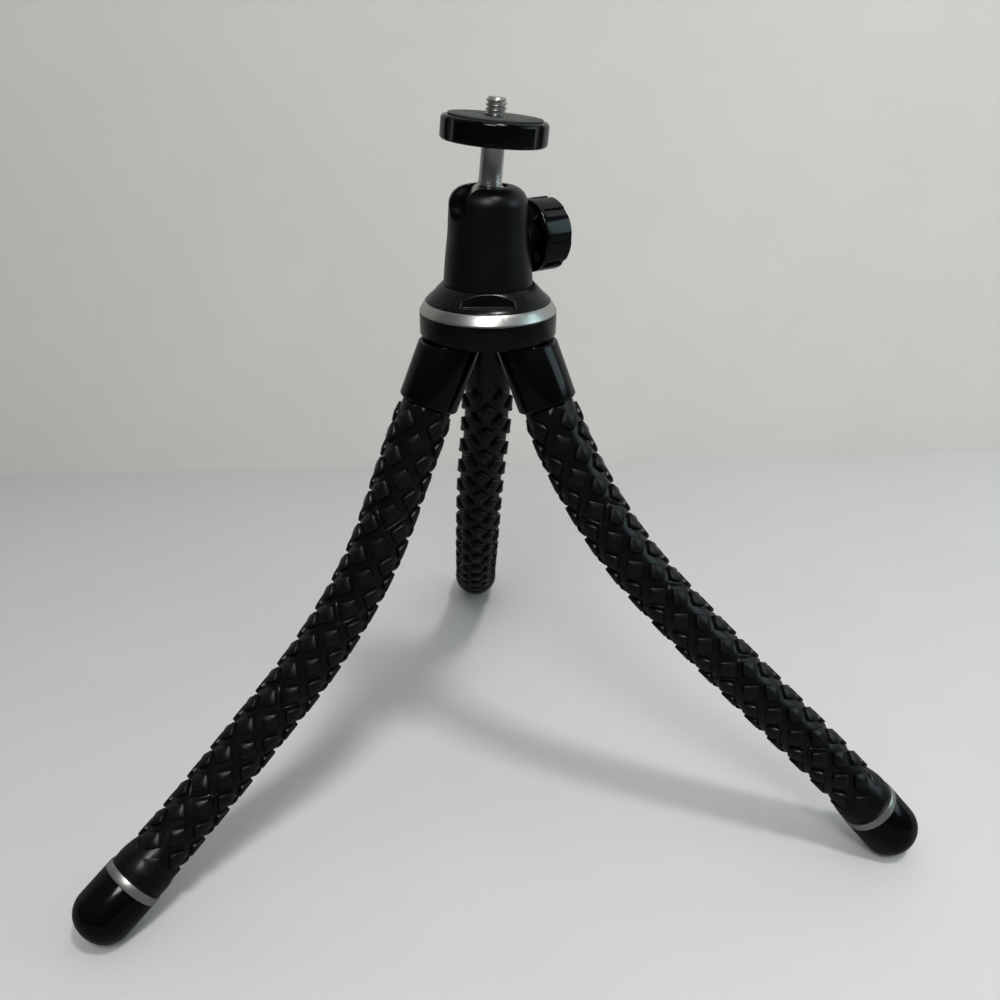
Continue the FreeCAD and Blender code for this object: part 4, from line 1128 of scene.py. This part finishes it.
class TRIPOD_OT_stage(bpy.types.Operator):
    """Set up the table, the wall, the lamps and the camera"""

    bl_idname = "tripod.make_stage"
    bl_label = "Make stage"

    def execute(self, context):
        stage = context.scene.tripod_stage
        self.make_surfaces(stage)
        self.make_light(context.scene, stage)
        self.make_camera(context.scene, stage)
        context.scene.view_settings.view_transform = "Standard"
        return {"FINISHED"}

    def make_surfaces(self, stage):
        turn = Matrix.Translation(HUB_FLOOR) @ Matrix.Rotation(math.radians(stage.wall_turn), 4, "Z")
        flat = Matrix.Translation((0, stage.wall_distance - TABLE_FORWARD, 0))
        upright = Matrix.Translation((0, stage.wall_distance, WALL_HEIGHT))
        upright = upright @ Matrix.Rotation(math.radians(90), 4, "X")
        # painted shade: the table is darker towards its far left, and the wall towards its upper left
        table_paint = paint_with_painted_shade(
            "table_paint", (HUB.x - 0.35, HUB.y + 0.3, 0), (HUB.x + 0.15, HUB.y - 0.2, 0),
            [part * TABLE_PAINTED_SHADE for part in stage.table_tone], stage.table_tone, 0.45, 0.8,
        )
        wall_paint = paint_with_painted_shade(
            "wall_paint", (HUB.x - 0.36, 0, 0.28), (HUB.x + 0.05, 0, 0.03),
            [part * WALL_PAINTED_SHADE for part in stage.wall_tone], stage.wall_tone, 0.8, 0.3,
        )
        see_through_from_behind(wall_paint)
        for name, place, paint in (("table", flat, table_paint), ("wall", upright, wall_paint)):
            shape = bmesh.new()
            bmesh.ops.create_grid(shape, x_segments=2, y_segments=2, size=SURFACE_REACH)
            shape.transform(turn @ place)
            mesh = bpy.data.meshes.new(name)
            shape.to_mesh(mesh)
            shape.free()
            mesh.materials.append(paint)
            obj = bpy.data.objects.new(name, mesh)
            bpy.context.scene.collection.objects.link(obj)

    def make_light(self, scene, stage):
        world = bpy.data.worlds.new("room")
        world.use_nodes = True
        background = world.node_tree.nodes["Background"]
        background.inputs["Color"].default_value = (0.93, 0.97, 1.0, 1.0)
        tree = world.node_tree
        up = add_node(tree, "ShaderNodeSeparateXYZ", {0: object_place(tree)}).outputs["Z"]
        rays = add_node(tree, "ShaderNodeLightPath").outputs
        mirrored = stage.room_light * MIRRORED_ROOM
        strength = spread(tree, rays["Is Glossy Ray"], 0.0, 1.0, stage.room_light, mirrored)
        strength = calculate(tree, "MULTIPLY", spread(tree, up, 0.0, 0.9, 0.35, 1.25), strength)
        strength = spread(tree, rays["Is Camera Ray"], 0.0, 1.0, strength, ROOM_SEEN)
        tree.links.new(strength, background.inputs["Strength"])
        scene.world = world
        for settings in LAMPS:
            lamp(*settings)

    def make_camera(self, scene, stage):
        data = bpy.data.cameras.new("camera")
        data.sensor_width = 36
        data.sensor_height = 36
        data.lens = 36
        data.clip_start = 0.01
        data.clip_end = 20
        obj = bpy.data.objects.new("camera", data)
        aim = Matrix.Rotation(math.radians(stage.camera_pitch), 4, "X")
        roll = Matrix.Rotation(math.radians(stage.camera_roll), 4, "Z")
        turn = Matrix.Rotation(math.radians(stage.camera_turn), 4, "Z")
        place = Matrix.Translation(HUB_FLOOR + Vector(stage.camera_offset))
        obj.matrix_world = place @ turn @ aim @ roll
        scene.collection.objects.link(obj)
        scene.camera = obj


# The add-on


OPERATORS = (
    TRIPOD_OT_sleeves,
    TRIPOD_OT_collars,
    TRIPOD_OT_feet,
    TRIPOD_OT_hub,
    TRIPOD_OT_housing,
    TRIPOD_OT_stem,
    TRIPOD_OT_knob,
    TRIPOD_OT_platform,
    TRIPOD_OT_camera_screw,
    TRIPOD_OT_inner_parts,
    TRIPOD_OT_stage,
)

SETTINGS = {
    "tripod_sleeves": SleeveSettings,
    "tripod_finishes": FinishSettings,
    "tripod_stage": StageSettings,
}


class TRIPOD_PT_pieces(bpy.types.Panel):
    """The tripod's pieces, with a button for each"""

    bl_idname = "TRIPOD_PT_pieces"
    bl_label = "Camera Tripod"
    bl_space_type = "VIEW_3D"
    bl_region_type = "UI"
    bl_category = "Tripod"

    def draw(self, context):
        column = self.layout.column()
        for operator in OPERATORS:
            column.operator(operator.bl_idname)
        for group in SETTINGS:
            settings = getattr(context.scene, group)
            box = self.layout.box()
            for name in settings.bl_rna.properties.keys():
                if name not in ("rna_type", "name"):
                    box.prop(settings, name)


def register():
    for kind in (*SETTINGS.values(), *OPERATORS, TRIPOD_PT_pieces):
        bpy.utils.register_class(kind)
    for name, kind in SETTINGS.items():
        setattr(bpy.types.Scene, name, bpy.props.PointerProperty(type=kind))


def unregister():
    for name in SETTINGS:
        delattr(bpy.types.Scene, name)
    for kind in reversed((*SETTINGS.values(), *OPERATORS, TRIPOD_PT_pieces)):
        bpy.utils.unregister_class(kind)


def main():
    register()
    for operator in OPERATORS:
        group, _, action = operator.bl_idname.partition(".")
        getattr(getattr(bpy.ops, group), action)()


if __name__ == "__main__":
    main()
